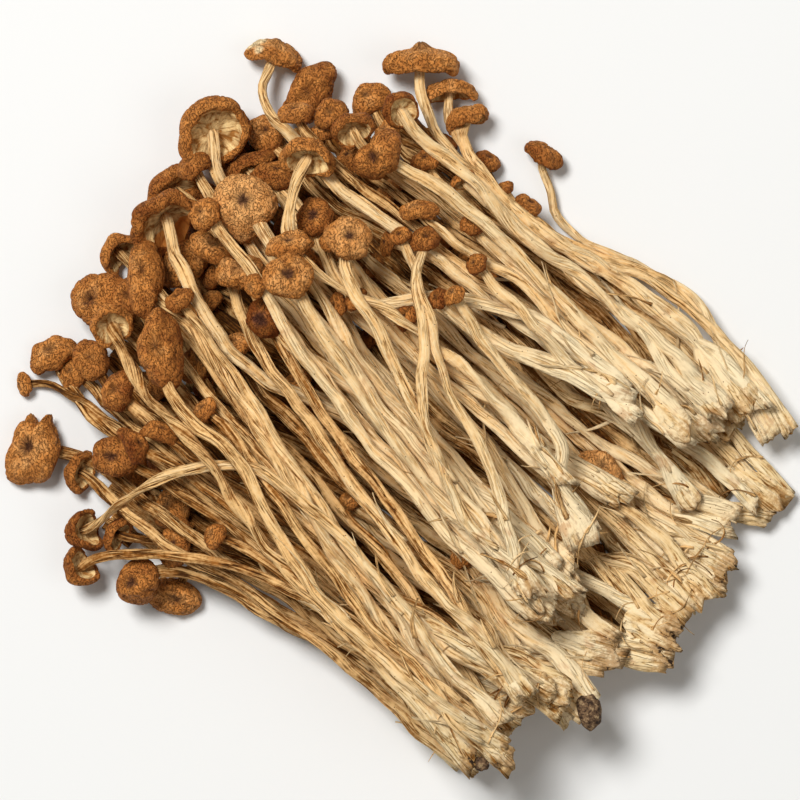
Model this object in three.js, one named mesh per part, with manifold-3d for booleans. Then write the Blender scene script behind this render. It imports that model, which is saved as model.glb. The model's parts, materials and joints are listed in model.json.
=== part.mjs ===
// A bunch of dried tea tree mushrooms: a fanned heap of long, flattened stems with small wrinkled caps.
// Millimetres, +X to the right, +Y towards the back, +Z up. The bunch lies down, caps to the back left
// and cut roots to the front right. Each clump or single mushroom grew as one piece and is one mesh.
// The mushrooms are laid one after another, and each comes to rest on those already there.

import * as THREE from "three";
import { mergeVertices } from "three/addons/utils/BufferGeometryUtils.js";
import Module from "manifold-3d";

const wasm = await Module();
wasm.setup();

// Driving dimensions.
const STEM_SIDES = 5; // sides of a stem's section
const STEM_STEP = 24.5; // most distance between two sections of a stem
const STEM_FLATNESS = 0.64; // a dried stem's thickness over its width
const ROOT_FLARE = 1.75; // width at the cut end over width along the stem
const ROOT_SWELL = 1.25; // thickness at the cut end over thickness along the stem
const CLUMP_SPACING = 4.2; // between the stems of a clump at the cut end
const SLIVER = 0.04; // facets narrower than this are dropped from a joined clump
const FLARE_LENGTH = 62; // how far from the cut end a stem is wider
const FUSED_LENGTH = 24; // how far from the cut end the stems of a clump stay together
const NECK_LENGTH = 3.6; // straight stretch of stem just under a cap
const CAP_SEGMENTS = 8; // sides of a cap's outline
const CAP_PROFILE = [[0, -0.05], [0.82, -0.3], [1, -0.08], [0.74, 0.36], [0, 0.5]]; // radius and height
const TIP_DEPTH = 0.14; // how far the stem's tip stands above the cap's middle, over the cap's mean radius
const NECK_WIDTH = 0.85; // width under the cap over width along the stem
const GAP = 0.35; // clearance between two pieces that touch
const CELL = 0.5; // side of a cell of the height map
const MAX_SLOPE = 0.55; // steepest climb of a stem, rise over run
const MAX_SAG = 0.9; // most that a stem hangs below the chord of its neighbouring sections
const SHARED_SECTIONS = 2; // sections at the cut end that a clump's stems have in common
const CONTACT_BINS = 12; // places along a stretch of stem where its contact is worked out
const LOWERING_PASSES = 8; // passes that let a clump down before it is only lifted
const MOST_PASSES = 14;
const LIFT = 0.05; // lift of a clump in each later pass
const CLOSE_ENOUGH = 1e-3; // millimetres
const RAISING_SWEEPS = 200;
const LOWERING_SWEEPS = 40;
const LEAST_SHARE = 0.02; // a height with less weight than this isn't moved for a rule
const TABLE = { left: -140, right: 140, front: -132, back: 132 }; // what the height map covers
const CENTRE = [1.15, -2.2]; // middle of the bunch's box in the plan that the lists below use
const STEM_COLOUR = 0xc9a063;
const STEM_ROUGHNESS = 0.85;

// The mushrooms, lowest first. A clump has a name, the plan position of its cut root, and its mushrooms.
// A mushroom has its stem's width, its cap's width across and along its heading, the cap's heading and
// lean in degrees, its fold, and plan points from the middle of the cap towards the root. The heading is
// where the cap's top faces, from +X towards +Y. A lean of 0 faces up, 90 lies on its side and 180 faces
// down. The fold bends the cap down on both sides of its heading like a saddle.
const CLUMPS = [
  ["far_right_low", [123, -35], [
    [3.2, 7, 6, 150, 50, 0, [[30, 58], [36, 52], [50, 42], [70, 28], [88, 8], [106, -15]]],
    [3.6, 8, 7, 160, 30, 0, [[19, 46], [28, 44], [45, 34], [66, 18], [90, -2], [108, -20]]],
    [4.6, 9, 8, 150, 50, 0, [[28, 38], [36, 26], [48, 10], [60, -3], [76, -16], [98, -28]]]]],
  ["right_low", [112, -38], [
    [3.4, 11, 9, 150, 40, 0.2, [[11, 49], [22, 42], [40, 30], [60, 14], [80, -6], [98, -24]]],
    [3.8, 10, 9, 140, 40, 0.3, [[-10, 43], [0, 38], [18, 25], [38, 8], [60, -10], [86, -28]]],
    [4.8, 9, 8, 140, 50, 0, [[16, 40], [24, 28], [36, 10], [48, -4], [62, -16], [84, -32]]]]],
  ["orange_cap_low", [105, -55], [
    [3.6, 18, 12, 60, 25, 0.3, [[64, -22], [72, -27], [80, -35], [88, -45]]],
    [4.2, 12, 11, 145, 50, 0.2, [[-24, 46], [-14, 38], [6, 22], [28, 4], [50, -14], [72, -32]]],
    [4.6, 9, 8, 140, 50, 0, [[-14, 48], [-5, 40], [10, 27], [24, 14], [39, 0], [58, -20], [78, -40]]]]],
  ["short_root_low", [100, -67], [
    [3.6, 9, 9, 140, 60, 0, [[2, 24], [12, 16], [32, -2], [54, -20], [78, -40]]],
    [4.8, 9, 8, 140, 50, 0, [[6, 18], [16, 8], [36, -10], [54, -26], [70, -40], [88, -56]]]]],
  ["soil_root_low", [86, -76], [
    [4.4, 12, 11, 140, 50, 0, [[-38, 32], [-28, 24], [-8, 8], [14, -10], [36, -28], [60, -50]]],
    [4.0, 10, 9, 130, 40, 0, [[-33, 6], [-22, -2], [-4, -16], [16, -32], [38, -48], [60, -62]]],
    [5.2, 9, 8, 140, 50, 0, [[-10, 20], [-1, 10], [13, -4], [26, -15], [41, -29], [65, -53]]],
    [4.6, 9, 8, 130, 50, 0, [[-18, -16], [-9, -26], [4, -38], [18, -50], [40, -62], [64, -72]]],
    [4.2, 9, 8, 130, 50, 0, [[36, -42], [44, -50], [58, -63], [72, -74]]]]],
  ["sharp_root_low", [70, -82], [
    [3.6, 9, 6, 120, 60, 0, [[-30, -4], [-20, -12], [-2, -26], [18, -42], [38, -58], [56, -72]]],
    [3.8, 9, 9, 120, 40, 0.2, [[-46, -13], [-36, -21], [-16, -36], [6, -52], [28, -68], [50, -80]]],
    [4.6, 10, 9, 120, 50, 0, [[-42, -18], [-33, -26], [-20, -36], [-6, -48], [12, -61], [38, -76]]]]],
  ["black_root", [60, -101], [
    [4.6, 9, 8, 120, 30, 0.2, [[20, -50], [26, -57], [36, -70], [47, -84]]],
    [4.2, 8, 6, 140, 60, 0, [[-54, -36], [-44, -40], [-24, -48], [-2, -62], [20, -76], [42, -90]]],
    [5.4, 9, 8, 120, 50, 0, [[-16, -32], [-8, -38], [6, -47], [20, -58], [42, -80]]]]],
  ["front_low", [38, -104], [
    [3.8, 9, 6, 150, 60, 0, [[-53, -55], [-43, -55], [-24, -63], [-6, -74], [12, -86]]],
    [4.2, 18, 11, 170, 15, 0.4, [[-72, -46], [-62, -48], [-44, -55], [-24, -66], [-4, -79],
      [16, -92]]],
    [3.4, 13, 10, 150, 120, 0.3, [[-91, -43], [-84, -44], [-66, -49], [-44, -58], [-22, -70], [4, -85]]]]],
  ["front_edge", [23, -117], [
    [3.8, 20, 13, 250, 20, 0.3, [[-72, -63], [-68, -54], [-58, -55], [-43, -65], [-23, -75],
      [-4, -89], [11, -104]]],
    [4.0, 16, 17, 190, 30, 0.4, [[-84, -58], [-76, -54], [-60, -58], [-42, -69], [-21, -79],
      [-1, -94]]]]],
  ["left_torn", [26, -117], [
    [4.0, 24, 18, 170, 22, 0, [[-118, -15], [-109, -17], [-98, -20], [-82, -32], [-60, -48],
      [-38, -62], [-15, -79], [8, -98]]],
    [3.6, 15, 12, 165, 125, 0, [[-103, -23], [-96, -28], [-88, -36], [-72, -47], [-50, -60],
      [-28, -76], [-6, -94]]]]],
  ["left_low", [44, -98], [
    [3.8, 17, 12, 120, 35, 0.2, [[-112, 15], [-106, 3], [-97, -6], [-82, -16], [-60, -32],
      [-38, -48], [-14, -66], [12, -84]]],
    [2.8, 9, 6, 190, 60, 0, [[-121, 5], [-113, 5], [-103, 0], [-88, -10], [-66, -26], [-44, -42],
      [-20, -60], [8, -80]]],
    [3.6, 12, 11, 150, 35, 0, [[-105, 9], [-98, 3], [-86, -8], [-68, -22], [-44, -42], [-18, -63],
      [10, -84]]]]],
  ["left_shade", [54, -96], [
    [3.6, 12, 15, 120, 20, 0, [[-99, 13], [-93, 4], [-80, -4], [-58, -20], [-36, -37], [-12, -56],
      [14, -74]]],
    [4.0, 11, 16, 60, 30, 0.2, [[-65, 12], [-62, 3], [-56, -8], [-46, -21], [-28, -38], [-6, -58],
      [20, -78]]],
    [4.6, 13, 11, 120, 50, 0, [[-53, 17], [-45, 5], [-31, -11], [-14, -29], [4, -50], [28, -74]]]]],
  ["left_round", [33, -108], [
    [3.6, 13, 17, 170, 20, 0.1, [[-91, -18], [-83, -22], [-70, -29], [-54, -40], [-36, -55],
      [-16, -72], [6, -90]]],
    [3.8, 18, 16, 130, 35, 0.2, [[-70, 44], [-65, 34], [-58, 16], [-46, -4], [-28, -24], [-8, -47],
      [14, -76]]],
    [4.2, 14, 12, 160, 40, 0.2, [[-90, 3], [-83, -4], [-72, -13], [-56, -27], [-36, -45], [-12, -67],
      [10, -87]]]]],
  ["orange_pair", [48, -92], [
    [3.2, 14, 8, 30, 40, 0.6, [[-84, -14], [-76, -19], [-60, -29], [-40, -43], [-18, -58],
      [8, -75]]],
    [3.2, 13, 7, 70, 40, 0.6, [[-76, -10], [-68, -16], [-52, -27], [-32, -41], [-10, -56],
      [16, -72]]]]],
  ["back_right_dark", [108, -7], [
    [3.8, 14, 12, 130, 40, 0.2, [[-10, 97], [-6, 89], [4, 81], [18, 72], [34, 60], [54, 46],
      [74, 31], [92, 13]]],
    [3.6, 11, 10, 140, 60, 0, [[-4, 86], [4, 77], [18, 67], [36, 54], [56, 42], [76, 30]]],
    [3.2, 10, 9, 60, 60, 0, [[28, 77], [30, 70], [36, 62], [50, 50], [68, 38], [86, 22]]],
    [3.4, 12, 9, 130, 50, 0, [[-16, 77], [-6, 69], [10, 58], [30, 44], [54, 28], [80, 8]]]]],
  ["far_right_thin", [122, -13], [
    [3.0, 10, 8, 60, 60, 0, [[41, 62.5], [44, 57], [56, 48], [74, 41], [91, 31], [106, 13]]],
    [3.4, 8, 7, 130, 60, 0, [[33, 67], [40, 58], [54, 50], [73, 43], [91, 34], [106, 15]]],
    [2.8, 14, 11, 60, 75, 0, [[46, 79], [47, 70], [51, 59], [61, 49], [78, 43], [96, 31],
      [109, 12]]]]],
  ["top_left_brown", [76, -6], [
    [3.8, 10, 6, 90, 50, 0, [[-25, 85], [-25, 77], [-18, 65], [-2, 55], [18, 44], [38, 30],
      [58, 12]]],
    [4.2, 14, 13, 120, 20, 0, [[-43, 86], [-38, 79], [-28, 68], [-10, 56], [8, 42], [28, 26],
      [50, 6]]]]],
  ["top_oval", [88, -8], [
    [3.8, 25, 14, 140, 25, 0, [[-29, 98], [-22, 90], [-10, 80], [6, 67], [24, 53], [44, 38],
      [66, 16]]],
    [3.6, 12, 10, 110, 25, 0.3, [[-22, 91], [-15, 83], [-2, 72], [14, 60], [32, 46], [52, 28],
      [72, 6]]]]],
  ["top_gilled", [100, -11], [
    [3.8, 15, 13, 105, 130, 0, [[-15, 86], [-12, 80], [-2, 73], [12, 64], [28, 52], [46, 37],
      [66, 20], [86, 2]]],
    [3.4, 10, 8, 100, 40, 0, [[8, 76], [12, 69], [20, 59], [34, 46], [52, 30], [72, 12], [88, -2]]]]],
  ["mid_row", [94, -34], [
    [3.0, 9, 6, 170, 50, 0, [[-4, 50], [4, 47], [18, 41], [36, 28], [56, 8], [76, -14]]],
    [3.4, 8, 9, 60, 20, 0.2, [[23, 56], [28, 49], [40, 38], [56, 22], [72, 2], [86, -20]]]]],
  ["back_left_gills", [57, -59], [
    [4.0, 21, 16, 130, 135, 0.2, [[-73, 68], [-66, 62], [-56, 49], [-42, 33], [-24, 15], [-4, -5],
      [18, -26], [40, -46]]],
    [3.4, 17, 8, 110, 70, 0.4, [[-66, 66], [-60, 59], [-50, 45], [-36, 29], [-18, 11], [2, -9],
      [24, -30]]]]],
  ["left_gills", [24, -95], [
    [3.8, 15, 14, 140, 120, 0.3, [[-91, 48], [-84, 41], [-74, 29], [-62, 13], [-46, -8],
      [-30, -30], [-12, -54], [8, -78]]]]],
  ["left_large", [38, -90], [
    [4.2, 20, 17, 160, 18, 0, [[-98, 32], [-90, 25], [-78, 12], [-64, -3], [-46, -22], [-26, -42],
      [-4, -62], [18, -78]]],
    [3.6, 15, 14, 140, 30, 0.1, [[-86, 33], [-79, 24], [-67, 9], [-53, -7], [-35, -28], [-15, -50],
      [8, -72]]]]],
  ["upper_gilled_lobe", [73, -33], [
    [3.6, 19, 10, 120, 115, 0.2, [[-49, 75], [-42, 68], [-32, 56], [-18, 40], [0, 24], [20, 6],
      [44, -14]]],
    [3.6, 16, 10, 80, 40, 0.3, [[-40, 72], [-34, 64], [-24, 52], [-10, 36], [8, 20], [28, 2],
      [52, -18]]]]],
  ["top_torn", [74, -2], [
    [4.0, 21, 13, 75, 72, 0.3, [[-40, 112], [-43, 105], [-44, 98], [-38, 88], [-26, 74],
      [-12, 62], [6, 49], [26, 33], [48, 14]]],
    [3.4, 12, 10, 100, 60, 0, [[-33, 91], [-27, 82], [-15, 70], [1, 58], [19, 43], [40, 26]]]]],
  ["umbrella_trio", [113, -5], [
    [3.6, 25, 20, 90, 86, 0, [[6.7, 109], [5.5, 103], [9, 92], [17, 79], [29, 67], [45, 53],
      [64, 42], [83, 27], [100, 10]]],
    [3.6, 18, 13, 95, 100, 0.3, [[16, 100], [15, 94], [18, 85], [26, 73], [38, 60], [54, 48],
      [72, 37], [90, 22], [104, 6]]],
    [3.8, 15, 14, 110, 95, 0.2, [[21.5, 91], [19, 86], [24, 76], [33, 64], [46, 53], [62, 44],
      [80, 33], [96, 18], [108, 3]]]]],
  ["pale_curled", [104, -6], [
    [4.4, 13, 13, 150, 145, 0, [[0, 92], [3, 86], [12, 79], [23, 70], [33, 58], [46, 47],
      [62, 36], [80, 20], [94, 4]]],
    [3.2, 9, 8, 120, 120, 0, [[20, 70], [25, 65], [34, 60], [43, 50], [58, 38], [76, 23], [92, 6]]]]],
  ["kidney_right", [92, -12], [
    [4.2, 18, 15, 200, 25, 0.5, [[-7, 77], [3, 72], [13, 67], [25, 57], [37, 46], [50, 33],
      [62, 19], [76, 4]]],
    [3.4, 14, 8, 95, 60, 0, [[6, 60], [11, 55], [22, 47], [38, 37], [52, 24], [66, 10], [80, -3]]]]],
  ["left_folded", [47, -69], [
    [4.2, 22, 15, 120, 125, 0.3, [[-75, 59], [-73, 50], [-67, 37], [-60, 24], [-51, 12], [-36, 3],
      [-20, -4], [-4, -18], [14, -36], [32, -54]]]]],
  ["left_kidney", [20, -106], [
    [5.0, 12, 23, 100, 30, 0.3, [[-82, 40], [-77, 33], [-67, 25], [-58, 12], [-49, -2],
      [-40, -16], [-30, -32], [-18, -52], [-4, -72], [10, -92]]],
    [3.4, 10, 9, 120, 50, 0, [[-70, 32], [-63, 22], [-52, 8], [-42, -8], [-29, -27], [-14, -49],
      [2, -71]]]]],
  ["upper_large_gills", [58, -67], [
    [4.2, 26, 24, 130, 150, 0, [[-60, 86], [-59, 77], [-55, 66], [-48, 55], [-41, 46], [-33, 33],
      [-24, 18], [-12, 1], [4, -18], [22, -38], [40, -54]]],
    [3.6, 12, 11, 120, 60, 0, [[-66, 75], [-60, 64], [-51, 52], [-39, 36], [-27, 20], [-13, 0],
      [4, -20], [24, -42]]]]],
  ["dark_round", [60, -46], [
    [3.8, 13, 13, 120, 20, 0, [[-27, 58], [-25, 48], [-18, 34], [-6, 20], [10, 4], [28, -14],
      [44, -30]]]]],
  ["kidney_lobes", [42, -97], [
    [3.8, 16, 10, 60, 30, 0.2, [[-60, 49], [-56, 42], [-52, 30], [-42, 12], [-28, -8], [-12, -30],
      [6, -54], [24, -76]]],
    [3.6, 19, 14, 90, 20, 0.2, [[-51, 41], [-45, 33], [-38, 18], [-26, -2], [-10, -24], [8, -48],
      [26, -72]]]]],
  ["upper_wide_pale", [57, -58], [
    [5.4, 12, 12, 140, 60, 0, [[-32, 44], [-27, 37], [-20, 28], [-12, 15], [-2, 3], [9, -10],
      [22, -26], [40, -43]]],
    [3.6, 9, 8, 140, 50, 0, [[-22, 51], [-14, 41], [-4, 27], [7, 12], [20, -5], [36, -27]]]]],
  ["crossing_right", [76, 0], [
    [4.0, 9, 7, 170, 50, 0, [[-20, 30], [-11, 30], [2, 31], [18, 33], [32, 29], [48, 22], [62, 11]]]]],
  ["dark_red", [52, -54], [
    [3.6, 14, 13, 200, 25, 0.3, [[-43, 26], [-36, 19], [-24, 10], [-8, -2], [10, -16], [30, -34]]]]],
  ["pale_ribbon", [75, -3], [
    [5.0, 8, 7, 140, 40, 0, [[12, 32], [19, 26], [32, 17], [46, 10]]],
    [3.6, 8, 8, 150, 50, 0, [[24, 43], [30, 36], [40, 26], [52, 14]]]]],
  ["wide_ribbon", [59, -47], [
    [3.8, 9, 8, 150, 50, 0, [[-14, 32], [-5, 23], [9, 10], [25, -3], [41, -18]]],
    [6.4, 9, 8, 140, 40, 0, [[2, 26], [10, 16], [22, 6], [35, -4], [47, -18]]],
    [3.6, 8, 7, 130, 50, 0, [[17, 33], [23, 23], [32, 11], [43, -2], [52, -16]]]]],
  ["left_lobe", [30, -109], [
    [3.2, 14, 13, 215, 125, 0.3, [[-103, -54], [-97, -50], [-86, -49], [-70, -50], [-54, -52],
      [-40, -58], [-24, -66], [-6, -78], [14, -94]]],
    [3.0, 9, 8, 150, 40, 0.2, [[-59, -43], [-52, -45], [-42, -52], [-28, -61], [-8, -75],
      [12, -92]]]]],
  ["curly_long", [36, -104], [
    [3.6, 14, 15, 195, 125, 0.4, [[-102, -42], [-96, -39], [-88, -32], [-79, -26], [-67, -22],
      [-54, -20], [-44, -22], [-34, -29], [-22, -39], [-8, -54], [6, -72], [20, -90]]]]],
  ["upper_curl", [57, -64], [
    [4.2, 18, 16, 80, 130, 0.3, [[-29, 77], [-32, 71], [-35, 61], [-35, 51], [-30, 41], [-22, 27],
      [-12, 12], [0, -4], [14, -20], [30, -38], [46, -54]]]]],
  ["face_up_large", [46, -66], [
    [4.2, 23, 24, 150, 8, 0.2, [[-49, 63], [-42, 52], [-34, 38], [-24, 22], [-12, 6], [2, -12],
      [18, -32], [34, -52]]],
    [3.6, 12, 11, 150, 40, 0, [[-62, 59], [-53, 49], [-44, 36], [-34, 21], [-21, 3], [-5, -15],
      [14, -36]]]]],
  ["flat_oval", [52, -26], [
    [3.6, 16, 10, 100, 50, 0, [[-35, 49], [-28, 42], [-16, 34], [0, 25], [16, 14], [32, -2]]]]],
  ["round_middle", [48, -70], [
    [4.0, 17, 15, 100, 15, 0, [[-35, 39], [-30, 31], [-24, 20], [-16, 8], [-8, -4], [2, -18],
      [16, -34], [32, -52]]],
    [3.6, 9, 8, 200, 50, 0, [[-46, 36], [-39, 27], [-31, 15], [-21, 1], [-9, -14], [7, -33]]]]],
  ["left_gill_stem", [25, -117], [
    [4.6, 15, 14, 120, 150, 0, [[-92, 24], [-89, 17], [-84, 8], [-77, -2], [-68, -11], [-59, -20],
      [-52, -32], [-43, -45], [-31, -58], [-16, -73], [-1, -88], [13, -103]]]]],
  ["left_elongated", [36, -115], [
    [4.2, 18, 27, 95, 14, 0.3, [[-77, 16], [-74, 5], [-69, -3], [-61, -10], [-52, -18],
      [-45, -29], [-38, -43], [-28, -58], [-15, -72], [0, -86], [17, -101]]],
    [3.4, 9, 8, 140, 50, 0, [[-62, -3], [-53, -11], [-41, -27], [-27, -47], [-12, -66], [6, -86]]]]],
  ["dotted_kidney", [47, -68], [
    [4.0, 16, 14, 60, 15, 0.2, [[-16, 51], [-18, 42], [-14, 33], [-8, 24], [-3, 14], [2, 3],
      [8, -10], [15, -24], [26, -40], [37, -56]]]]],
  ["standing_pair", [42, -62], [
    [3.4, 10, 9, 90, 30, 0.3, [[8, 51], [6, 43], [6, 34], [7, 22], [7, 8], [8, -6], [12, -20],
      [19, -36], [30, -50]]],
    [3.2, 8, 6, 120, 30, 0, [[0, 52], [4, 42], [8, 30], [12, 14], [17, 0], [25, -14], [31, -28],
      [37, -44]]]]],
];

// The hidden lower mushrooms, laid before the list above by a seeded rule.
const FILL_CLUMPS = 9;
const FILL_SEED = 2150;
const FILL_SPREAD = 0.3; // how far each cap is from its clump's place on the arc, over the clump's share
const FILL_SHORTER = 0.2; // most that a hidden mushroom is shorter than the way between the arcs
const FILL_BEND = 5; // most that a hidden stem bows sideways
const FILL_ROUTE = [1, 0.88, 0.66, 0.44, 0.26]; // plan points over the way from the root to the cap
const FILL_STEM = [4.6, 6.2];
const FILL_CAP = [11, 16];
const FILL_LEAN = [35, 95];
const FILL_FOLD = 0.1;
const ROOT_ARC = [[112, -14], [103, -32], [92, -54], [78, -72], [60, -86], [44, -96], [24, -106]];
const CAP_ARC = [[14, 82], [-14, 72], [-40, 62], [-64, 42], [-82, 12], [-86, -16], [-74, -44]];

// A repeatable random number from 0 to 1.
function randomFrom(seed) {
  let state = seed;
  return () => {
    state = (state * 1664525 + 1013904223) % 4294967296;
    return state / 4294967296;
  };
}

// A smooth plan curve through the points, cut into sections no further apart than STEM_STEP.
function sectionsAlong(points) {
  const curve = new THREE.CatmullRomCurve3(
    points.map(([x, y]) => new THREE.Vector3(x, y, 0)), false, "centripetal");
  const count = Math.max(3, Math.ceil(curve.getLength() / STEM_STEP));
  return curve.getSpacedPoints(count);
}

// The direction that a cap's top faces.
function capAxis(heading, lean) {
  const turn = THREE.MathUtils.degToRad(heading);
  const tip = THREE.MathUtils.degToRad(lean);
  return new THREE.Vector3(Math.cos(turn) * Math.sin(tip), Math.sin(turn) * Math.sin(tip), Math.cos(tip));
}

// Works out one mushroom's sections in plan and how high its neck and tip stand over its tip's level.
function planMushroom([width, across, along, heading, lean, fold, route], root, side) {
  const axis = capAxis(heading, lean);
  const radius = (across + along) / 4;
  const middle = new THREE.Vector3(route[0][0], route[0][1], 0);
  const tip = middle.clone().addScaledVector(axis, radius * TIP_DEPTH);
  const neck = tip.clone().addScaledVector(axis, -NECK_LENGTH);
  const last = route[route.length - 1];
  const towards = new THREE.Vector2(root[0] - last[0], root[1] - last[1]).normalize();
  const foot = [root[0] + towards.y * side, root[1] - towards.x * side];
  const fused = [foot[0] - towards.x * FUSED_LENGTH, foot[1] - towards.y * FUSED_LENGTH];
  const lastRun = Math.hypot(last[0] - fused[0], last[1] - fused[1]);
  const onward = lastRun > STEM_STEP / 3 && Math.hypot(root[0] - last[0], root[1] - last[1]) > FUSED_LENGTH;
  const between = route.slice(1, onward ? route.length : route.length - 1);
  const plan = [[neck.x, neck.y], ...between, fused];
  const run = sectionsAlong(plan).reverse();
  const stations = [new THREE.Vector3(foot[0], foot[1], 0), ...run, tip];
  const levels = stations.map(() => 0);
  levels[stations.length - 1] = tip.z;
  levels[stations.length - 2] = neck.z;
  return { width, across, along, fold, axis, heading, middle, stations, levels };
}

// Half the stem's width and thickness at each section: more at the cut root, a little less at the neck.
function sectionSizes({ stations, width }) {
  let walked = 0;
  return stations.map((at, i) => {
    if (i > 0) walked += Math.hypot(at.x - stations[i - 1].x, at.y - stations[i - 1].y);
    const flare = Math.max(0, 1 - walked / FLARE_LENGTH) ** 2;
    const half = (width * (i >= stations.length - 2 ? NECK_WIDTH : 1)) / 2;
    const wide = half * (1 + (ROOT_FLARE - 1) * flare);
    const thick = half * STEM_FLATNESS * (1 + (ROOT_SWELL - 1) * flare);
    return { wide, thick };
  });
}

// A closed stem: a cylinder's rings moved onto the sections, flattened, with flat cut ends.
function stemGeometry(mushroom, heights) {
  const { stations } = mushroom;
  const sizes = sectionSizes(mushroom);
  const centres = stations.map((at, i) => new THREE.Vector3(at.x, at.y, heights[i]));
  const rings = centres.length;
  const geometry = new THREE.CylinderGeometry(1, 1, 1, STEM_SIDES, rings - 1, false);
  geometry.deleteAttribute("normal");
  geometry.deleteAttribute("uv");
  const merged = mergeVertices(geometry, 1e-4);
  const upright = new THREE.Vector3(0, 0, 1);
  const frames = centres.map((at, i) => {
    const ahead = centres[Math.min(i + 1, rings - 1)].clone().sub(centres[Math.max(i - 1, 0)]).normalize();
    const from = Math.min(Math.max(i - 1, 0), rings - 3);
    const plan = stations[Math.min(i + 1, rings - 2)].clone().sub(stations[from]).setZ(0);
    const across = plan.cross(upright).normalize();
    const up = across.clone().cross(ahead).normalize();
    return { across, up };
  });
  const places = merged.attributes.position;
  const along = new Float32Array(places.count);
  for (let v = 0; v < places.count; v++) {
    const ring = Math.round((places.getY(v) + 0.5) * (rings - 1));
    const { across, up } = frames[ring];
    const point = centres[ring].clone();
    point.addScaledVector(across, places.getX(v) * sizes[ring].wide);
    point.addScaledVector(up, places.getZ(v) * sizes[ring].thick);
    places.setXYZ(v, point.x, point.y, point.z);
    along[v] = ring;
  }
  return { geometry: merged, along };
}

// A cap: a lathed shell with a rolled-in rim, made oval, folded, and turned to face along its axis.
function capGeometry(mushroom, tipHeight) {
  const { across, along, fold, axis, heading, middle, levels } = mushroom;
  const radius = (across + along) / 4;
  const points = CAP_PROFILE.map(([r, z]) => new THREE.Vector2(r, z));
  const geometry = new THREE.LatheGeometry(points, CAP_SEGMENTS);
  geometry.deleteAttribute("normal");
  geometry.deleteAttribute("uv");
  const merged = mergeVertices(geometry, 1e-4);
  const turn = THREE.MathUtils.degToRad(heading);
  const sideways = new THREE.Vector3(-Math.sin(turn), Math.cos(turn), 0);
  const onward = sideways.clone().cross(axis).normalize();
  const places = merged.attributes.position;
  const base = new THREE.Vector3(middle.x, middle.y, tipHeight - levels[levels.length - 1]);
  for (let v = 0; v < places.count; v++) {
    const x = places.getX(v);
    const y = -places.getZ(v);
    const height = places.getY(v) * radius - fold * radius * x * x;
    const point = base.clone();
    point.addScaledVector(sideways, (x * across) / 2);
    point.addScaledVector(onward, (-y * along) / 2);
    point.addScaledVector(axis, height + fold * radius * 0.1);
    places.setXYZ(v, point.x, point.y, point.z);
  }
  return merged;
}

// The height map: the highest point over each cell of the table, which starts as the bare table.
const columns = Math.ceil((TABLE.right - TABLE.left) / CELL);
const rows = Math.ceil((TABLE.back - TABLE.front) / CELL);
const heightMap = new Float32Array(columns * rows).fill(-GAP);

// Calls visit(cell, low, high, x, y) for each cell that a triangle lies over: the triangle's lowest and
// highest point over the cell, and the cell's middle.
function overCells(a, b, c, visit) {
  const left = Math.max(0, Math.floor((Math.min(a.x, b.x, c.x) - TABLE.left) / CELL));
  const right = Math.min(columns - 1, Math.floor((Math.max(a.x, b.x, c.x) - TABLE.left) / CELL));
  const front = Math.max(0, Math.floor((Math.min(a.y, b.y, c.y) - TABLE.front) / CELL));
  const back = Math.min(rows - 1, Math.floor((Math.max(a.y, b.y, c.y) - TABLE.front) / CELL));
  const lowest = Math.min(a.z, b.z, c.z);
  const highest = Math.max(a.z, b.z, c.z);
  const area = (b.x - a.x) * (c.y - a.y) - (c.x - a.x) * (b.y - a.y);
  const flat = Math.abs(area) > 1e-9;
  const slopeX = flat ? ((b.z - a.z) * (c.y - a.y) - (c.z - a.z) * (b.y - a.y)) / area : 0;
  const slopeY = flat ? ((c.z - a.z) * (b.x - a.x) - (b.z - a.z) * (c.x - a.x)) / area : 0;
  const reach = (Math.abs(slopeX) + Math.abs(slopeY)) * (CELL / 2);
  const turn = Math.sign(area) || 1;
  const sides = [[a, b], [b, c], [c, a]].map(([p, q]) => ({
    nx: -(q.y - p.y) * turn, ny: (q.x - p.x) * turn, p,
    slack: (Math.abs(q.y - p.y) + Math.abs(q.x - p.x)) * (CELL / 2),
  }));
  for (let row = front; row <= back; row++) {
    const y = TABLE.front + (row + 0.5) * CELL;
    for (let column = left; column <= right; column++) {
      const x = TABLE.left + (column + 0.5) * CELL;
      if (sides.some(({ nx, ny, p, slack }) => nx * (x - p.x) + ny * (y - p.y) < -slack)) continue;
      const z = flat ? a.z + slopeX * (x - a.x) + slopeY * (y - a.y) : lowest;
      const low = flat ? Math.min(highest, Math.max(lowest, z - reach)) : lowest;
      const high = flat ? Math.max(lowest, Math.min(highest, z + reach)) : highest;
      visit(row * columns + column, low, high, x, y);
    }
  }
}

// Calls visit(a, b, c, sections) for each triangle of a mesh, with the stem section of each corner.
function overTriangles(geometry, along, visit) {
  const places = geometry.attributes.position;
  const index = geometry.index.array;
  const corner = (i) => new THREE.Vector3().fromBufferAttribute(places, index[i]);
  for (let i = 0; i < index.length; i += 3) {
    const sections = [0, 1, 2].map((k) => along[index[i + k]]);
    visit(corner(i), corner(i + 1), corner(i + 2), sections);
  }
}

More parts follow.
